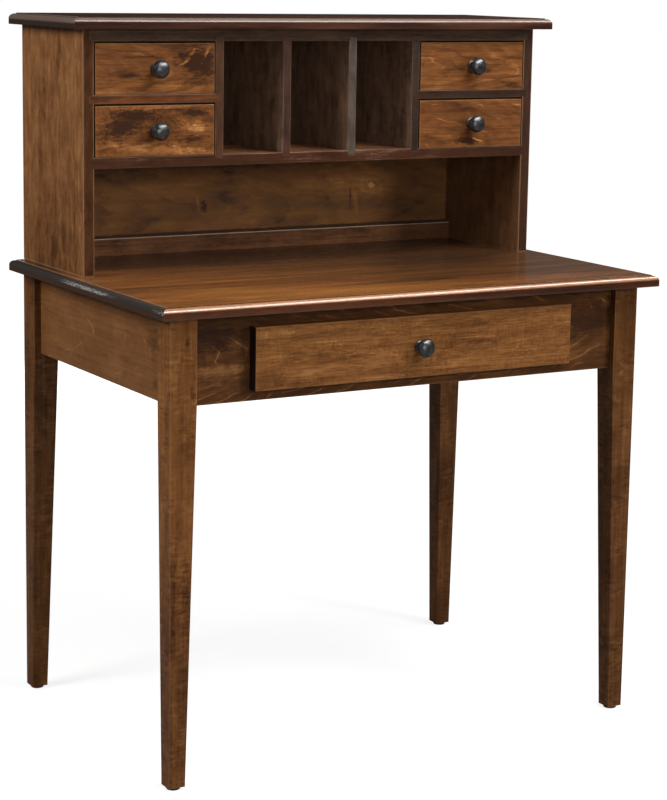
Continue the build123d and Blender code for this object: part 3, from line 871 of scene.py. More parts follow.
FRAME_STAIN = Stain(
    dark=(0.080, 0.049, 0.032),
    deep=(0.125, 0.077, 0.050),
    middle=(0.185, 0.114, 0.074),
    light=(0.250, 0.155, 0.100),
    pale=(0.330, 0.205, 0.130),
    cast=(0.86, 0.82, 0.92),
    end_grain=(0.022, 0.012, 0.009),
    edge_tint=(0.30, 0.20, 0.16),
    wear_and_highlight=(0.120, 0.056, 0.030),
    rub_and_highlight=0.20,
)
PANEL_STAIN = Stain(
    dark=(0.045, 0.023, 0.013),
    deep=(0.100, 0.046, 0.021),
    middle=(0.148, 0.064, 0.021),
    light=(0.205, 0.089, 0.029),
    pale=(0.330, 0.175, 0.065),
    cast=(0.95, 0.90, 0.95),
    end_grain=(0.030, 0.018, 0.013),
    specular=0.15,
    coat=0.0,
)
BOX_STAIN = Stain(
    dark=(0.330, 0.215, 0.115),
    deep=(0.450, 0.310, 0.175),
    middle=(0.560, 0.405, 0.240),
    light=(0.640, 0.480, 0.300),
    pale=(0.700, 0.545, 0.360),
    cast=(0.98, 0.95, 0.90),
    end_grain=(0.360, 0.240, 0.135),
    rub_and_highlight=0.1,
    roughness=0.45,
    specular=0.35,
    coat=0.1,
)
RAW_STAIN = replace(
    BOX_STAIN, dark=(0.300, 0.200, 0.110), middle=(0.520, 0.385, 0.235), roughness=0.62,
    specular=0.2, coat=0.0,
)


@dataclass(frozen=True)
class Gunmetal:
    """Satin cast knob finish: dark metal, finely pitted, a little paler where hands wear it."""

    base: Colour = (0.043, 0.044, 0.046)
    rubbed: Colour = (0.092, 0.092, 0.093)
    metallic: float = 0.8
    roughness: float = 0.30
    pits_per_metre: float = 900.0
    pit_depth: float = 0.02 * MM
    clouds_per_metre: float = 160.0

    def build(self, name: str) -> bpy.types.Material:
        """Adds the nodes.

        Args:
            name: the material's name.

        Returns:
            The finished material.
        """
        shading = Shading(name)
        place = shading.object_place()
        pits = shading.noise(place * self.pits_per_metre, 3.0, 0.6)
        clouds = shading.noise(place * self.clouds_per_metre, 3.0, 0.55)
        colour = shading.blend(clouds.ramp(-0.15, 0.25), self.base, self.rubbed)
        return shading.surface(
            {
                "Base Color": colour,
                "Metallic": self.metallic,
                "Roughness": clouds * 0.10 + pits * 0.06 + self.roughness,
                "Normal": shading.bump(pits, self.pit_depth, 0.3),
            }
        )


@dataclass(frozen=True)
class PlatedSteel:
    """Zinc plated screws: bright, with a fine turned grain and dull patches."""

    base: Colour = (0.56, 0.56, 0.54)
    dull: Colour = (0.34, 0.34, 0.32)
    roughness: float = 0.28
    patches_per_metre: float = 420.0
    lines_per_metre: float = 2400.0
    line_depth: float = 0.03 * MM

    def build(self, name: str) -> bpy.types.Material:
        """Adds the nodes.

        Args:
            name: the material's name.

        Returns:
            The finished material.
        """
        shading = Shading(name)
        place = shading.object_place()
        dull = shading.noise(place * self.patches_per_metre, 4.0, 0.65).ramp(-0.1, 0.25)
        lines = shading.noise(place * self.lines_per_metre)
        return shading.surface(
            {
                "Base Color": shading.blend(dull, self.base, self.dull),
                "Metallic": 1.0,
                "Roughness": dull * 0.25 + self.roughness,
                "Normal": shading.bump(lines, self.line_depth, 0.5),
            }
        )


@dataclass(frozen=True)
class GlidePlastic:
    """Black moulded glides with scuffed soles."""

    base: Colour = (0.012, 0.012, 0.012)
    scuffed: Colour = (0.075, 0.072, 0.068)
    roughness: float = 0.42
    scuffed_height: Span = (2.2 * MM, 0.2 * MM)
    scratches_per_metre: float = 700.0
    scratch_depth: float = 0.05 * MM

    def build(self, name: str) -> bpy.types.Material:
        """Adds the nodes.

        Args:
            name: the material's name.

        Returns:
            The finished material.
        """
        shading = Shading(name)
        place = shading.object_place()
        height = shading.parts(place)[2]
        scratches = shading.noise(place * self.scratches_per_metre, 4.0, 0.7)
        scuff = height.ramp(*self.scuffed_height) * scratches.ramp(-0.1, 0.15)
        return shading.surface(
            {
                "Base Color": shading.blend(scuff, self.base, self.scuffed),
                "Roughness": scuff * 0.25 + self.roughness,
                "Normal": shading.bump(scratches, self.scratch_depth, 0.4),
            }
        )


def dress_plain(node: str, material: bpy.types.Material) -> None:
    """Gives a node a material that isn't wood.

    Args:
        node: the node.
        material: its material.
    """
    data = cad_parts[node].data
    data.materials.clear()
    data.materials.append(material)
    LOG.info("dressed %s", node)


# ---------------------------------------------------------------- surfaces
SAME_POINT = 1e-7


def grid_mesh(name: str, points: np.ndarray, close_rows: bool, sharp_angle: float) -> bpy.types.Object:
    """Mesh of a grid of points, whose columns run round a closed loop.

    Each quad joins a point to its right and lower neighbours, with the columns taken round modulo
    their number.

    Args:
        name: the object's name.
        points: rows x columns x 3, each row one loop; a row of equal points is a pole.
        close_rows: whether the first and last rows are capped by one face each.
        sharp_angle: edges over this many degrees stay crisp.

    Returns:
        The object, linked to the scene.
    """
    rows, columns, _ = points.shape
    index = np.arange(rows * columns).reshape(rows, columns)
    right = np.roll(index, -1, axis=1)
    quads = np.stack([index[:-1], right[:-1], right[1:], index[1:]], axis=-1).reshape(-1, 4)
    faces = [tuple(quad) for quad in quads.tolist()]
    if close_rows:
        faces.append(tuple(index[0][::-1].tolist()))
        faces.append(tuple(index[-1].tolist()))
    mesh = bpy.data.meshes.new(name)
    mesh.from_pydata(points.reshape(-1, 3).tolist(), [], faces)
    merge_and_face_outwards(mesh)
    mesh.polygons.foreach_set("use_smooth", np.ones(len(mesh.polygons), bool))
    mesh.set_sharp_from_angle(angle=math.radians(sharp_angle))
    piece = bpy.data.objects.new(name, mesh)
    bpy.context.scene.collection.objects.link(piece)
    return piece


def merge_and_face_outwards(mesh: bpy.types.Mesh) -> None:
    """Merges doubled points, such as a pole's, and turns every face outwards.

    Args:
        mesh: the mesh to mend.
    """
    work = bmesh.new()
    work.from_mesh(mesh)
    bmesh.ops.remove_doubles(work, verts=work.verts, dist=SAME_POINT)
    bmesh.ops.recalc_face_normals(work, faces=work.faces)
    work.to_mesh(mesh)
    work.free()
    mesh.update()


def arc(centre: Span, radii: Span, start: float, end: float, count: int) -> np.ndarray:
    """Elliptical arc: the centre plus the radii times the cosine and the sine of the angle.

    Args:
        centre: its centre.
        radii: its two radii, which may be negative.
        start: the first angle, in degrees.
        end: the last angle, in degrees.
        count: how many points.

    Returns:
        The points, count x 2.
    """
    angle = np.radians(np.linspace(start, end, count))
    return np.stack([centre[0] + radii[0] * np.cos(angle), centre[1] + radii[1] * np.sin(angle)], axis=1)


@dataclass(frozen=True)
class MouldedTop:
    """A top whose four upper edges have a step, a land and a quarter round.

    Bevel is the width and the fall of the small bevel on the flat's edge. The points are how many
    the round and the lower arris have, and edges over the sharp angle stay crisp.
    """

    node: str
    step: float = 1.5 * MM
    land: float = 1.5 * MM
    round: float = 8.0 * MM
    arris: float = 1.0 * MM
    bevel: Span = (0.3 * MM, 0.25 * MM)
    round_points: int = 13
    arris_points: int = 5
    sharp_angle: float = 28.0

    def width(self) -> float:
        """Width of the moulding, from the outer edge to the flat."""
        return self.round + self.land

    def profile(self) -> np.ndarray:
        """One edge in section: three points of the flat and the step, then two quarter circles.

        Returns:
            Inset from the outer edge and height, from the flat down to the underside.
        """
        low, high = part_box(self.node)
        inset = self.width()
        shoulder = high.z - self.step
        centre = (self.round, shoulder - self.round)
        quarter = arc(centre, (-self.round, self.round), 90, 0, self.round_points)
        centre = (self.arris, low.z + self.arris)
        eased = arc(centre, (-self.arris, -self.arris), 0, 90, self.arris_points)
        width, fall = self.bevel
        flat = np.array([[inset + width, high.z], [inset, high.z - fall], [inset, shoulder]])
        return np.concatenate([flat, quarter, eased])

    def build(self) -> bpy.types.Object:
        """Carries the profile round the rectangle: each corner moves in by the profile's inset.

        Returns:
            The piece, which stands for the node.
        """
        low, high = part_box(self.node)
        signs = np.array([[-1, -1], [1, -1], [1, 1], [-1, 1]], float)
        middle = np.array([(low.x + high.x) / 2, (low.y + high.y) / 2])
        half = np.array([(high.x - low.x) / 2, (high.y - low.y) / 2])
        profile = self.profile()
        plan = middle + signs[None] * (half[None, None] - profile[:, None, :1])
        height = np.broadcast_to(profile[:, None, 1:], (len(profile), 4, 1))
        points = np.concatenate([plan, height], axis=2)
        piece = grid_mesh(self.node + "_moulded", points, True, self.sharp_angle)
        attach(piece, "desk")
        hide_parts(self.node)
        LOG.info("moulded %s", piece.name)
        return piece


@dataclass(frozen=True)
class TurnedKnob:
    """A mushroom knob on a waisted neck, turned about an axis along Y.

    Neck_end and rim are distances from the drawer's front, where the neck's waist ends and the
    dome starts. The waist stops at waist_angle, in degrees. The points are how many each part of
    the profile has, columns is how many go round, and edges over the sharp angle stay crisp.
    """

    node: str
    body: str
    base_radius: float = 9.5 * MM
    base_height: float = 2.0 * MM
    neck_radius: float = 5.5 * MM
    neck_end: float = 13.0 * MM
    rim: float = 20.0 * MM
    bore_radius: float = 2.0 * MM
    bore_depth: float = 12.0 * MM
    lip: float = 0.5 * MM
    dome_points: int = 20
    under_points: int = 14
    waist_points: int = 12
    waist_angle: float = 84.0
    lip_points: int = 5
    columns: int = 64
    sharp_angle: float = 35.0

    def profile(self) -> np.ndarray:
        """The knob in section: quarter ellipses for the dome, its underside, the waist and the lip.

        Returns:
            Radius and distance from the drawer's front, from the dome's middle round to the bore.
        """
        low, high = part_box(self.node)
        length, radius = high.y - low.y, (high.x - low.x) / 2
        dome = arc((0.0, self.rim), (radius, length - self.rim), 90, 0, self.dome_points)
        radii = (radius - self.neck_radius, self.neck_end - self.rim)
        under = arc((self.neck_radius, self.rim), radii, 0, 90, self.under_points)
        radii = (self.neck_radius - self.base_radius, self.base_height - self.neck_end)
        waist = arc((self.base_radius, self.neck_end), radii, 0, self.waist_angle, self.waist_points)
        centre = (self.base_radius - self.lip, self.base_height - self.lip)
        rim = arc(centre, (self.lip, self.lip), 90, 0, self.lip_points)
        back = np.array(
            [
                [self.base_radius, 0.0],
                [self.bore_radius, 0.0],
                [self.bore_radius, self.bore_depth],
                [0.0, self.bore_depth],
            ]
        )
        return np.concatenate([dome, under[1:], waist[1:], rim, back])

    def build(self, material: bpy.types.Material) -> bpy.types.Object:
        """Turns the profile: x and z are the radius times cosine and sine, y is the distance.

        Args:
            material: the knob's metal.

        Returns:
            The piece, which stands for the node.
        """
        low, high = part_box(self.node)
        profile = self.profile()
        turn = np.linspace(0.0, math.tau, self.columns, endpoint=False)
        radius, distance = profile[:, :1], profile[:, 1:]
        points = np.stack(
            [
                (low.x + high.x) / 2 + radius * np.cos(turn),
                np.broadcast_to(high.y - distance, (len(profile), len(turn))),
                (low.z + high.z) / 2 + radius * np.sin(turn),
            ],
            axis=-1,
        )
        piece = grid_mesh(self.node + "_turned", points, False, self.sharp_angle)
        piece.data.materials.append(material)
        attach(piece, self.body)
        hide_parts(self.node)
        LOG.info("turned %s", piece.name)
        return piece


# ---------------------------------------------------------------- sub-assemblies
@dataclass(frozen=True)
class Table:
    """The desk under the hutch: top, legs, aprons and what holds them together."""

    plank_width: float = 0.118
    top: MouldedTop = MouldedTop("desk_top")

    def build(self) -> None:
        """Dresses every piece of the table."""
        self._top()
        self._legs()
        self._aprons()
        self._hidden_parts()

    def _top(self) -> None:
        """Writing surface: glued-up planks with long soft stripes, painted shadow and reflection at the
        back, painted shade in the middle and painted light at the front left.
        """
        marks = (
            Mark(0.092, -0.192, 0.050, 0.011, -0.32, 4.0, 0.9),
            Mark(0.040, -0.178, 0.110, 0.016, -0.12, 2.0, 0.9),
            # Painted light: the brighter front left.
            Mark(-0.26, -0.22, 0.42, 0.14, 0.24, 0.0, 1.0, 0.3),
            Mark(-0.40, 0.055, 0.06, 0.035, -0.20, 0.0, 0.9, 0.5),
            Mark(0.10, -0.25, 0.40, 0.05, 0.10, 0.0, 0.9, 0.4),
            # Painted shadow of the shelf and painted reflection of the hutch: the dark band at the back.
            Mark(-0.14, 0.240, 0.70, 0.160, -0.70, 0.0, 0.6, 0.2),
            # Painted shade: the middle and the right of the top darker.
            Mark(0.16, 0.07, 0.62, 0.22, -0.36, 0.0, 1.0, 0.2),
            Mark(0.28, -0.12, 0.50, 0.22, -0.18, 0.0, 1.0, 0.3),
        )
        figure = Figure(
            ring_pitch=0.011, ring_depth=0.10, pith_behind=-0.09, cone=0.035, cloud_size=0.035,
            cloud_stretch=7.0, cloud_depth=0.60, streak_depth=0.35, streak_width=0.018, dash_length=0.05,
            dash_width=0.004, dash_depth=0.20, plank_width=self.plank_width, plank_depth=0.10,
            fibre_depth=0.15, contrast=1.3,
        )
        board = Board(self.top.node, Axis.X, Axis.Z, 0.4, marks, Axis.Y, self.top.width())
        dress(board, figure, TOP_STAIN, self.top.build())

    def _legs(self) -> None:
        """Square tapered legs with a curly figure."""
        figure = Figure(
            ring_pitch=0.009, ring_depth=0.10, pith_across=0.05, pith_behind=0.06, cone=0.02, cloud_size=0.03,
            cloud_stretch=3.0, cloud_depth=0.60, streak_depth=0.35, dash_depth=0.15, curl_pitch=0.0055,
            curl_depth=0.75, fibre_depth=0.15,
        )
        marks = (
            Mark(0.254, -0.4265, 0.007, 0.004, -0.5),
            Mark(0.70, -0.4050, 0.010, 0.006, -0.22, 20.0),
            Mark(0.62, -0.3950, 0.014, 0.007, -0.20, -10.0),
            # Painted shade: the front left leg darker towards its foot.
            Mark(0.18, -0.4200, 0.320, 0.100, -0.22, 0.0, 0.9),
        )
        dark = replace(
            LEG_STAIN, dark=(0.022, 0.008, 0.003), deep=(0.045, 0.017, 0.005), middle=(0.080, 0.031, 0.009),
            light=(0.125, 0.051, 0.016), pale=(0.180, 0.080, 0.026),
        )
        dress(Board("leg_front_left", Axis.Z, Axis.Y, 1.3, marks), figure, LEG_STAIN)
        dress(Board("leg_front_right", Axis.Z, Axis.Y, 2.9), figure, dark)
        dress(Board("leg_back_left", Axis.Z, Axis.Y, 4.1), figure, dark)
        dress(Board("leg_back_right", Axis.Z, Axis.Y, 5.7), figure, dark)

    def _aprons(self) -> None:
        """Aprons: a wild dark front one, and side ones with thin pale arches."""
        figure = Figure(
            ring_pitch=0.011, ring_depth=0.16, pale_ring_depth=0.34, pith_behind=0.04, cone=0.22,
            wander=0.014, cloud_size=0.035, cloud_depth=0.7, streak_depth=0.25, dash_depth=0.30,
            curl_pitch=0.010, curl_depth=0.20, contrast=1.25,
        )
        marks = (
            Mark(-0.365, 0.708, 0.065, 0.036, -0.24, -24.0, 0.6),
            Mark(-0.330, 0.680, 0.050, 0.016, 0.14, 20.0, 0.8),
            Mark(-0.350, 0.650, 0.060, 0.014, 0.26, 0.0, 0.7),
            Mark(0.345, 0.690, 0.070, 0.040, -0.22, 5.0, 0.7),
        )
        dress(Board("apron_front", Axis.X, Axis.Y, 0.9, marks), figure, APRON_STAIN)
        side = replace(
            figure, ring_pitch=0.060, ring_depth=0.10, cone=-0.28, wander=0.006, pith_behind=0.012,
            cloud_depth=0.60, streak_depth=0.30, curl_depth=0.25,
        )
        dark_end = (
            Mark(-0.19, 0.690, 0.035, 0.035, -0.30, 30.0, 0.8),
            Mark(-0.20, 0.625, 0.02, 0.015, -0.22),
        )
        dress(Board("apron_left", Axis.Y, Axis.X, 2.2, dark_end), side, SIDE_APRON_STAIN)
        dress(Board("apron_right", Axis.Y, Axis.X, 3.3), side, SIDE_APRON_STAIN)
        dress(Board("apron_back", Axis.X, Axis.Y, 4.4), figure, APRON_STAIN)

    def _hidden_parts(self) -> None:
        """Unfinished maple inside the frame, glides and screws."""
        figure = Figure(ring_depth=0.16, cloud_depth=0.35, streak_depth=0.3, dash_depth=0.2)
        pieces = (
            ("drawer_runners", Axis.Y, Axis.Z),
            ("drawer_kickers", Axis.Y, Axis.Z),
            ("corner_blocks", Axis.X, Axis.Z),
            ("top_buttons", Axis.Y, Axis.Z),
            ("hutch_dowels", Axis.Z, Axis.Y),
        )
        for seed, (node, grain, face) in enumerate(pieces):
            dress(Board(node, grain, face, 1.1 * seed), figure, RAW_STAIN)
        dress_plain("foot_glides", GlidePlastic().build("glide_plastic"))
        dress_plain("wood_screws", PlatedSteel().build("wood_screw_steel"))


@dataclass(frozen=True)
class Hutch:
    """The hutch: sides, top, shelves, dividers and back."""

    side_strip: float = 0.085
    top: MouldedTop = MouldedTop("hutch_top")

    def build(self) -> None:
        """Dresses every piece of the hutch."""
        self._case()
        self._frame()
        self._dividers()
        self._back()

    def _case(self) -> None:
        """Sides with upright grain, and the moulded top."""
        figure = Figure(
            ring_pitch=0.014, ring_depth=0.10, pith_behind=0.09, cone=0.02, cloud_size=0.018,
            cloud_stretch=2.6, cloud_depth=0.85, streak_depth=0.35, streak_width=0.012, dash_length=0.010,
            dash_width=0.004, dash_depth=0.35, plank_width=self.side_strip, plank_depth=0.06,
            curl_depth=0.20, fibre_depth=0.2, contrast=1.3,
        )
        marks = (
            Mark(1.105, 0.150, 0.045, 0.012, -0.30, 0.0, 0.9),
            Mark(1.030, 0.215, 0.060, 0.014, -0.25, 0.0, 0.9),
            Mark(0.930, 0.230, 0.050, 0.018, -0.20, 0.0, 0.9),
            Mark(0.790, 0.170, 0.040, 0.020, -0.16, 0.0, 0.9),
            Mark(1.070, 0.110, 0.070, 0.040, 0.14, 0.0, 0.9),
            Mark(0.790, 0.178, 0.160, 0.200, -0.18, 0.0, 1.0),
        )
        dress(Board("hutch_side_left", Axis.Z, Axis.X, 0.7, marks, Axis.Y), figure, SIDE_STAIN)
        dark = replace(
            SIDE_STAIN, dark=(0.052, 0.023, 0.010), deep=(0.098, 0.044, 0.018), middle=(0.146, 0.068, 0.028),
            light=(0.200, 0.098, 0.041), pale=(0.275, 0.143, 0.063), edge_tint=(0.21, 0.17, 0.15),
            specular=0.35,
        )
        dress(Board("hutch_side_right", Axis.Z, Axis.X, 3.8, (), Axis.Y), figure, dark)
        striped = Figure(
            ring_pitch=0.011, ring_depth=0.16, pith_behind=-0.09, cone=0.035, cloud_size=0.035,
            cloud_stretch=7.0, cloud_depth=0.75, streak_depth=0.75, streak_width=0.010, dash_depth=0.2,
            plank_width=0.14, plank_depth=0.14,
        )
        board = Board(self.top.node, Axis.X, Axis.Z, 5.1, (), Axis.Y, self.top.width())
        dress(board, striped, HUTCH_TOP_STAIN, self.top.build())

    def _frame(self) -> None:
        """Shelf, inner top, drawer shelves and back rail."""
        figure = Figure(
            ring_pitch=0.008, ring_depth=0.2, cloud_size=0.03, cloud_stretch=4.0, cloud_depth=0.9,
            streak_depth=0.5, streak_width=0.004, curl_depth=0.3,
        )
        # The inner top's greyer edge tint is partly painted shade under the hutch top's overhang.
        darker = replace(FRAME_STAIN, edge_tint=(0.250, 0.240, 0.235), rub_and_highlight=0.10)
        ruddy = replace(FRAME_STAIN, edge_tint=(0.46, 0.26, 0.14), rub_and_highlight=0.5)
        dusky = replace(FRAME_STAIN, edge_tint=(0.140, 0.117, 0.108))
        shelf = replace(
            FRAME_STAIN, deep=(0.080, 0.035, 0.016), middle=(0.120, 0.052, 0.022),
            light=(0.160, 0.070, 0.030), edge_tint=(0.34, 0.31, 0.35),
        )
        dress(Board("hutch_shelf", Axis.X, Axis.Z, 1.9, (), Axis.Y), figure, shelf)
        dress(Board("hutch_inner_top", Axis.X, Axis.Z, 3.8, (), Axis.Y), figure, darker)
        dress(Board("drawer_shelf_left", Axis.X, Axis.Z, 5.7, (), Axis.Y), figure, ruddy)
        dress(Board("drawer_shelf_right", Axis.X, Axis.Z, 7.6, (), Axis.Y), figure, dusky)
        # The rail's pale edge colour, laid strongly on its top edge, is a painted highlight along the top
        # arris.
        rail = replace(
            FRAME_STAIN, dark=(0.050, 0.020, 0.010), deep=(0.080, 0.033, 0.015), middle=(0.115, 0.048, 0.022),
            light=(0.150, 0.062, 0.026), pale=(0.190, 0.080, 0.034), wear_and_highlight=(0.420, 0.300, 0.220), rub_and_highlight=0.9,
        )
        dress(Board("hutch_back_rail", Axis.X, Axis.Y, 6.3, painted_top_highlight=True), figure, rail)

    def _dividers(self) -> None:
        """The four uprights, each with its own tint on its front edge."""
        figure = Figure(
            ring_pitch=0.008, ring_depth=0.2, cloud_size=0.02, cloud_stretch=2.5, cloud_depth=1.0,
            streak_depth=0.4, streak_width=0.004, curl_depth=0.4,
        )
        tints = {
            "outer_left": (0.29, 0.19, 0.115),
            "inner_left": (0.23, 0.17, 0.16),
            "inner_right": (0.31, 0.38, 0.45),
            "outer_right": (0.145, 0.130, 0.125),
        }
        for seed, (label, tint) in enumerate(tints.items()):
            board = Board("hutch_divider_" + label, Axis.Z, Axis.X, 2.3 * seed + 0.5, (), Axis.Y)
            dress(board, figure, replace(FRAME_STAIN, edge_tint=tint, specular=0.25))

    def _back(self) -> None:
        """Back panel: broad arches, an amber knot, a thin dark check and painted shadow under the shelf."""
        figure = Figure(
            ring_pitch=0.020, ring_depth=0.30, pale_ring_depth=0.16, pith_across=-0.13, pith_behind=0.03,
            cone=0.22, wander=0.026, cloud_size=0.05, cloud_stretch=2.2, cloud_depth=0.95, streak_depth=0.25,
            dash_length=0.03, dash_width=0.006, dash_depth=0.20, burl_size=0.06, burl_depth=0.06,
            fibre_depth=0.12, contrast=1.1,
        )
        marks = (
            Mark(0.0, 0.7900, 0.80, 0.0030, -0.90, 0.0, 0.5),
            # Painted shadow of the shelf on the panel's upper part.
            Mark(-0.20, 0.9450, 0.60, 0.075, -0.42, 0.0, 0.9, 0.4),
            Mark(0.10, 0.8400, 0.35, 0.035, -0.12, 0.0, 0.9, 0.5),
            Mark(0.22, 0.8650, 0.14, 0.055, 0.26, 0.0, 0.9, 0.4),
            Mark(0.2480, 0.8615, 0.017, 0.011, -0.35),
            Mark(0.2480, 0.8615, 0.009, 0.007, 1.10),
            Mark(0.2040, 0.8400, 0.003, 0.034, -0.35, 0.0, 0.8),
            Mark(0.2160, 0.8300, 0.006, 0.030, 0.25, 10.0, 0.8),
            Mark(-0.0950, 0.8350, 0.007, 0.016, -0.40, 10.0, 0.8),
            Mark(-0.1080, 0.8400, 0.004, 0.020, 0.25, 10.0, 0.8),
        )
        dress(Board("hutch_back_panel", Axis.X, Axis.Y, 0.2, marks, front_marks=True), figure, PANEL_STAIN)


@dataclass(frozen=True)
class DrawerBox:
    """The clear lacquered box behind a drawer's front. Each part has its grain and its face."""

    body: str
    parts: tuple[tuple[str, Axis, Axis], ...] = (
        ("_sides", Axis.Y, Axis.X),
        ("_back", Axis.X, Axis.Y),
        ("_bottom", Axis.X, Axis.Z),
    )

    def build(self, seed: float) -> None:
        """Dresses the box.

        Args:
            seed: a number that picks its figure.
        """
        figure = Figure(ring_depth=0.18, cloud_depth=0.4, streak_depth=0.3, dash_depth=0.2, ring_pitch=0.009)
        for index, (part, grain, face) in enumerate(self.parts):
            dress(Board(self.body + part, grain, face, seed + index), figure, BOX_STAIN)


@dataclass(frozen=True)
class WideDrawer:
    """The wide drawer: an even, curly face screwed to its box."""

    box: DrawerBox = DrawerBox("main_drawer")
    knob: TurnedKnob = TurnedKnob("main_drawer_knob", "main_drawer")

    def build(self, metal: bpy.types.Material) -> None:
        """Dresses the drawer and turns its knob.

        Args:
            metal: the knob's metal.
        """
        face = Figure(
            ring_pitch=0.012, ring_depth=0.12, pith_behind=0.05, cone=0.05, wander=0.012, cloud_size=0.016,
            cloud_stretch=5.0, cloud_depth=0.65, streak_depth=0.35, streak_width=0.0035, dash_length=0.020,
            dash_width=0.0026, dash_depth=0.55, curl_pitch=0.0045, curl_depth=0.35, fleck_depth=0.15,
            contrast=1.4,
        )
        marks = (
            Mark(0.115, 0.668, 0.060, 0.007, -0.26, -4.0, 0.9),
            Mark(0.060, 0.700, 0.110, 0.012, -0.20, 0.0, 0.9),
            Mark(-0.225, 0.668, 0.028, 0.016, -0.20, 0.0, 0.9),
            Mark(-0.200, 0.640, 0.055, 0.006, 0.16, 8.0, 0.8),
            Mark(-0.120, 0.658, 0.060, 0.005, -0.15, 3.0, 0.8),
            Mark(0.050, 0.632, 0.120, 0.007, 0.14, 2.0, 0.9),
        )
        dress(Board("main_drawer_face", Axis.X, Axis.Y, 1.6, marks), face, FACE_STAIN)
        plain = Figure(ring_depth=0.18, cloud_depth=0.4, streak_depth=0.3, dash_depth=0.2)
        dress(Board("main_drawer_box_front", Axis.X, Axis.Y, 2.6), plain, BOX_STAIN)
        self.box.build(7.0)
        dress_plain("main_drawer_screws", PlatedSteel().build("main_screw_steel"))
        self.knob.build(metal)


@dataclass(frozen=True)
class SmallDrawer:
    """One small inset drawer with its own wild figure."""

    body: str
    seed: float
    figure: Figure
    marks: tuple[Mark, ...]

    def build(self, metal: bpy.types.Material, steel: bpy.types.Material) -> None:
        """Dresses the drawer and turns its knob.

        Args:
            metal: the knob's metal.
            steel: the metal of the knob's screw.
        """
        front = Board(self.body + "_front", Axis.X, Axis.Y, self.seed, self.marks)
        dress(front, self.figure, FRONT_STAIN)
        DrawerBox(self.body).build(self.seed + 3.0)
        dress_plain(self.body + "_knob_screw", steel)
        TurnedKnob(self.body + "_knob", self.body).build(metal)


def small_drawers() -> list[SmallDrawer]:
    """The four small drawers, each with the figure of its own board.

    Returns:
        The drawers, left ones first.
    """
    wavy = Figure(
        ring_pitch=0.010, ring_depth=0.36, pale_ring_depth=0.22, pith_behind=0.03, cone=0.10, wander=0.016,
        cloud_size=0.016, cloud_stretch=5.0, cloud_depth=0.6, streak_depth=0.35, streak_width=0.004,
        dash_depth=0.25, burl_size=0.03, burl_depth=0.05, contrast=1.15,
    )
    wild = replace(
        wavy, ring_depth=0.20, pale_ring_depth=0.1, burl_size=0.012, burl_depth=0.15, fleck_depth=0.15,
        cloud_stretch=3.0, contrast=1.1,
    )
    return [
        SmallDrawer(
            "upper_left_drawer", 0.3, replace(wavy, pale_ring_depth=0.1, fleck_depth=0.08),
            (
                Mark(-0.2330, 1.1080, 0.050, 0.030, -0.32, -30.0, 0.7),
                Mark(-0.2200, 1.0950, 0.070, 0.040, -0.22, 0.0, 0.9),
                Mark(-0.2450, 1.1080, 0.028, 0.0045, 0.40, 50.0, 0.9),
                Mark(-0.2560, 1.0980, 0.020, 0.0030, 0.30, 30.0, 0.9),
                Mark(-0.2150, 1.1110, 0.022, 0.0045, 0.48, 62.0, 0.9),
                Mark(-0.2050, 1.1080, 0.016, 0.0030, -0.30, 55.0, 0.9),
                Mark(-0.3500, 1.0800, 0.034, 0.006, -0.22, 3.0, 0.8),
                Mark(-0.2300, 1.0650, 0.045, 0.008, -0.25, 0.0, 0.8),
                Mark(-0.3300, 1.1090, 0.050, 0.003, -0.22, 2.0, 0.8),
            ),
        ),
        SmallDrawer(
            "lower_left_drawer", 1.7, wild,
            (
                Mark(-0.3300, 1.0150, 0.060, 0.010, -0.26, -4.0, 0.7),
                Mark(-0.3640, 0.9960, 0.045, 0.024, -0.30, 20.0, 0.7),
                Mark(-0.2270, 1.0180, 0.034, 0.008, -0.26, 0.0, 0.8),
                Mark(-0.2340, 0.9770, 0.034, 0.008, -0.20, 0.0, 0.8),
                Mark(-0.3050, 1.0280, 0.110, 0.004, 0.25, 0.0, 0.8),
                Mark(-0.2950, 0.9600, 0.110, 0.012, 0.30, -4.0, 0.8),
                Mark(-0.2350, 0.9970, 0.044, 0.018, 0.33, 0.0, 0.9),
                Mark(-0.3150, 1.0000, 0.150, 0.060, -0.18, 0.0, 0.9),
            ),
        ),
        SmallDrawer(
            "upper_right_drawer", 2.4, replace(wavy, ring_pitch=0.008),
            (
                Mark(0.3850, 1.0580, 0.035, 0.008, -0.22, -12.0, 0.8),
                Mark(0.3050, 1.0900, 0.160, 0.060, -0.03, 0.0, 0.9),
            ),
        ),
        SmallDrawer(
            "lower_right_drawer", 3.9,
            replace(
                wavy, pith_across=-0.05, cone=0.2, ring_depth=0.16, pale_ring_depth=0.40, ring_pitch=0.016
            ),
            (
                Mark(0.2950, 0.9590, 0.032, 0.008, -0.45, 0.0, 0.7),
                Mark(0.3200, 0.9610, 0.018, 0.0025, 0.60, -14.0, 0.8),
                Mark(0.2500, 0.9690, 0.034, 0.006, 0.15, -4.0, 0.8),
                Mark(0.3050, 0.9950, 0.180, 0.080, -0.12, 0.0, 0.8),
            ),
        ),
    ]


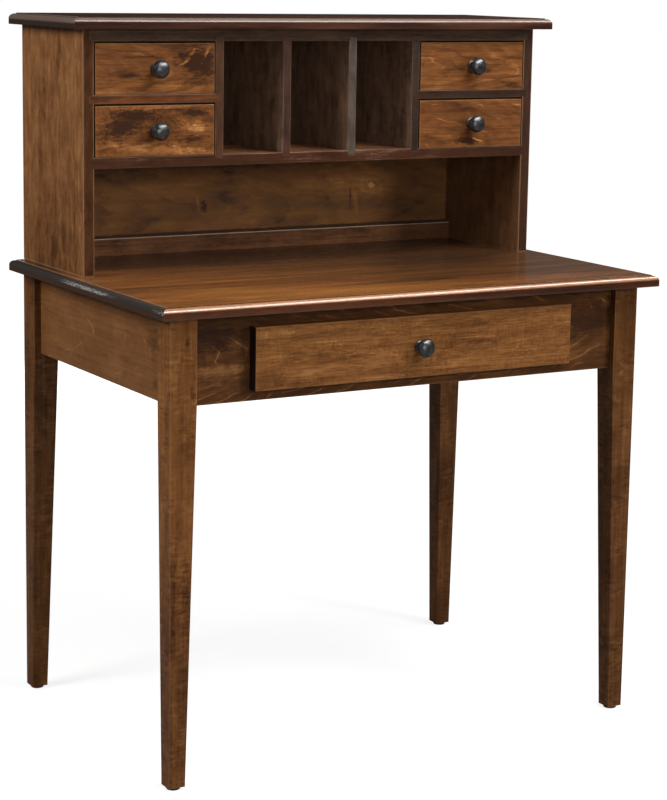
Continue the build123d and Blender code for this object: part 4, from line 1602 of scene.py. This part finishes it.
# ---------------------------------------------------------------- studio
@dataclass(frozen=True)
class SoftBox:
    """A rectangular soft light that looks at a point.

    Mirrored says whether gloss shows it, and lights whether it lights matt surfaces.
    """

    name: str
    place: tuple[float, float, float]
    target: tuple[float, float, float]
    width: float
    height: float
    power: float
    mirrored: bool = True
    lights: bool = True

    def build(self) -> None:
        """Adds the lamp."""
        lamp = bpy.data.lights.new(self.name, "AREA")
        lamp.shape = "RECTANGLE"
        lamp.size = self.width
        lamp.size_y = self.height
        lamp.energy = self.power
        lamp_object = bpy.data.objects.new(self.name, lamp)
        lamp_object.location = self.place
        direction = Vector(self.target) - Vector(self.place)
        lamp_object.rotation_euler = direction.to_track_quat("-Z", "Y").to_euler()
        lamp_object.visible_glossy = self.mirrored
        lamp_object.visible_diffuse = self.lights
        bpy.context.scene.collection.objects.link(lamp_object)


@dataclass(frozen=True)
class Camera:
    """The camera, in degrees and metres; its optical axis meets the picture above its middle."""

    place: tuple[float, float, float] = (-1.82651, -3.17403, 1.25022)
    yaw: float = -29.981
    pitch: float = -9.812
    roll: float = -0.930
    focal_pixels: float = 2193.68
    axis_row: float = 350.0
    picture_height: int = 800
    sensor: float = 36.0
    far_clip: float = 60.0

    def build(self) -> None:
        """Adds the camera and makes it the scene's."""
        data = bpy.data.cameras.new("camera")
        data.sensor_width = self.sensor
        data.lens = self.focal_pixels / self.picture_height * self.sensor
        data.shift_y = (self.axis_row - self.picture_height / 2) / self.picture_height
        data.clip_end = self.far_clip
        turn = (
            Matrix.Rotation(math.radians(self.yaw), 3, "Z")
            @ Matrix.Rotation(math.radians(self.pitch), 3, "X")
            @ Matrix.Rotation(math.radians(self.roll), 3, "Y")
        )
        right, forward, up = turn.col
        matrix = Matrix((right, up, -forward)).transposed().to_4x4()
        matrix.translation = self.place
        camera = bpy.data.objects.new("camera", data)
        camera.matrix_world = matrix
        bpy.context.scene.collection.objects.link(camera)
        bpy.context.scene.camera = camera


@dataclass(frozen=True)
class Studio:
    """A pale floor that runs out to white, and soft light from above, both sides and behind.

    Glow is how bright the floor looks by itself, near the desk and further out. Ambient is the
    strength of the even light, and mirrored is the share of the white that gloss and glass show.
    """

    floor_reach: float = 16.0
    floor_pale: float = 0.24
    near_glow: float = 0.80
    far_glow: float = 1.0
    glow_from: float = 1.2
    glow_to: float = 4.5
    ambient: float = 0.07
    mirrored: float = 0.01

    def build(self) -> None:
        """Adds floor, world and lamps."""
        self._floor()
        self._world()
        middle = (0.0, 0.0, 0.8)
        for box in (
            SoftBox("overhead", (0.70, -0.55, 2.60), (0.20, -0.30, 0.8), 1.7, 0.6, 53.0, False),
            SoftBox("edge_light", (0.95, -1.15, 2.45), middle, 2.4, 0.5, 72.0, True, False),
            SoftBox("key_high", (0.15, -1.90, 3.10), middle, 1.6, 0.5, 30.0),
            SoftBox("key_right", (1.85, -3.00, 3.05), middle, 1.2, 0.5, 32.0),
            SoftBox("key_low", (1.95, -2.65, 1.50), middle, 0.6, 0.6, 40.0, False),
            SoftBox("fill", (-0.90, -4.20, 1.30), middle, 1.8, 1.6, 44.0),
            SoftBox("left", (-2.60, 0.05, 2.15), middle, 1.0, 1.2, 73.0, False),
            SoftBox("left_glint", (-2.60, -0.60, 2.00), middle, 0.6, 0.6, 5.0),
            SoftBox("back", (1.20, 3.20, 0.55), (0.0, 0.0, 0.6), 1.2, 0.7, 30.0),
        ):
            box.build()

    def _shown(self, shading: Shading) -> Signal:
        """1 for what the camera sees, and a share for what gloss and glass show.

        Args:
            shading: the tree that needs it.

        Returns:
            The factor between the plain and the white look.
        """
        path = shading.add("ShaderNodeLightPath", {}, {}, "Is Camera Ray")
        outputs = path.socket.node.outputs
        glossy = Signal(shading, outputs["Is Glossy Ray"])
        through = Signal(shading, outputs["Is Transmission Ray"])
        return (path + (glossy + through) * self.mirrored).clamped()

    def _floor(self) -> None:
        """The floor: pale and matt, with a glow that carries it to white further out."""
        reach = self.floor_reach
        corners = [(-reach, -reach, 0.0), (reach, -reach, 0.0), (reach, reach, 0.0), (-reach, reach, 0.0)]
        mesh = bpy.data.meshes.new("floor")
        mesh.from_pydata(corners, [], [(0, 1, 2, 3)])
        floor = bpy.data.objects.new("floor", mesh)
        bpy.context.scene.collection.objects.link(floor)
        shading = Shading("studio_floor")
        distance = shading.length(shading.object_place())
        near, far = (self.near_glow,) * 3, (self.far_glow,) * 3
        colour = shading.blend(distance.ramp(self.glow_from, self.glow_to), near, far)
        matt = shading.add("ShaderNodeBsdfDiffuse", {}, {"Color": (self.floor_pale,) * 3})
        glow = shading.add("ShaderNodeEmission", {}, {"Color": colour, "Strength": 1.0})
        lit = shading.add("ShaderNodeAddShader", {}, {0: matt, 1: glow})
        both = shading.add("ShaderNodeMixShader", {}, {0: self._shown(shading), 1: matt, 2: lit})
        shading.add("ShaderNodeOutputMaterial", {}, {"Surface": both})
        mesh.materials.append(shading.material)

    def _world(self) -> None:
        """The world: even ambient light, seen as white by the camera."""
        world = bpy.data.worlds.new("studio")
        world.use_nodes = True
        bpy.context.scene.world = world
        shading = Shading("studio_world", world.node_tree)
        white = (1.0, 1.0, 1.0)
        dim = shading.add("ShaderNodeBackground", {}, {"Color": white, "Strength": self.ambient})
        bright = shading.add("ShaderNodeBackground", {}, {"Color": white, "Strength": 1.0})
        both = shading.add("ShaderNodeMixShader", {}, {0: self._shown(shading), 1: dim, 2: bright})
        shading.add("ShaderNodeOutputWorld", {}, {"Surface": both})


def main() -> None:
    """Builds the sub-assemblies in order, then the studio."""
    logging.basicConfig(level=logging.INFO, format="%(name)s %(message)s")
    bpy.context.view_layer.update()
    Camera().build()
    Studio().build()
    metal = Gunmetal().build("knob_gunmetal")
    steel = PlatedSteel().build("knob_screw_steel")
    Table().build()
    Hutch().build()
    WideDrawer().build(metal)
    for drawer in small_drawers():
        drawer.build(metal, steel)
    bpy.context.scene.view_settings.view_transform = "Standard"


if __name__ == "__main__":
    main()
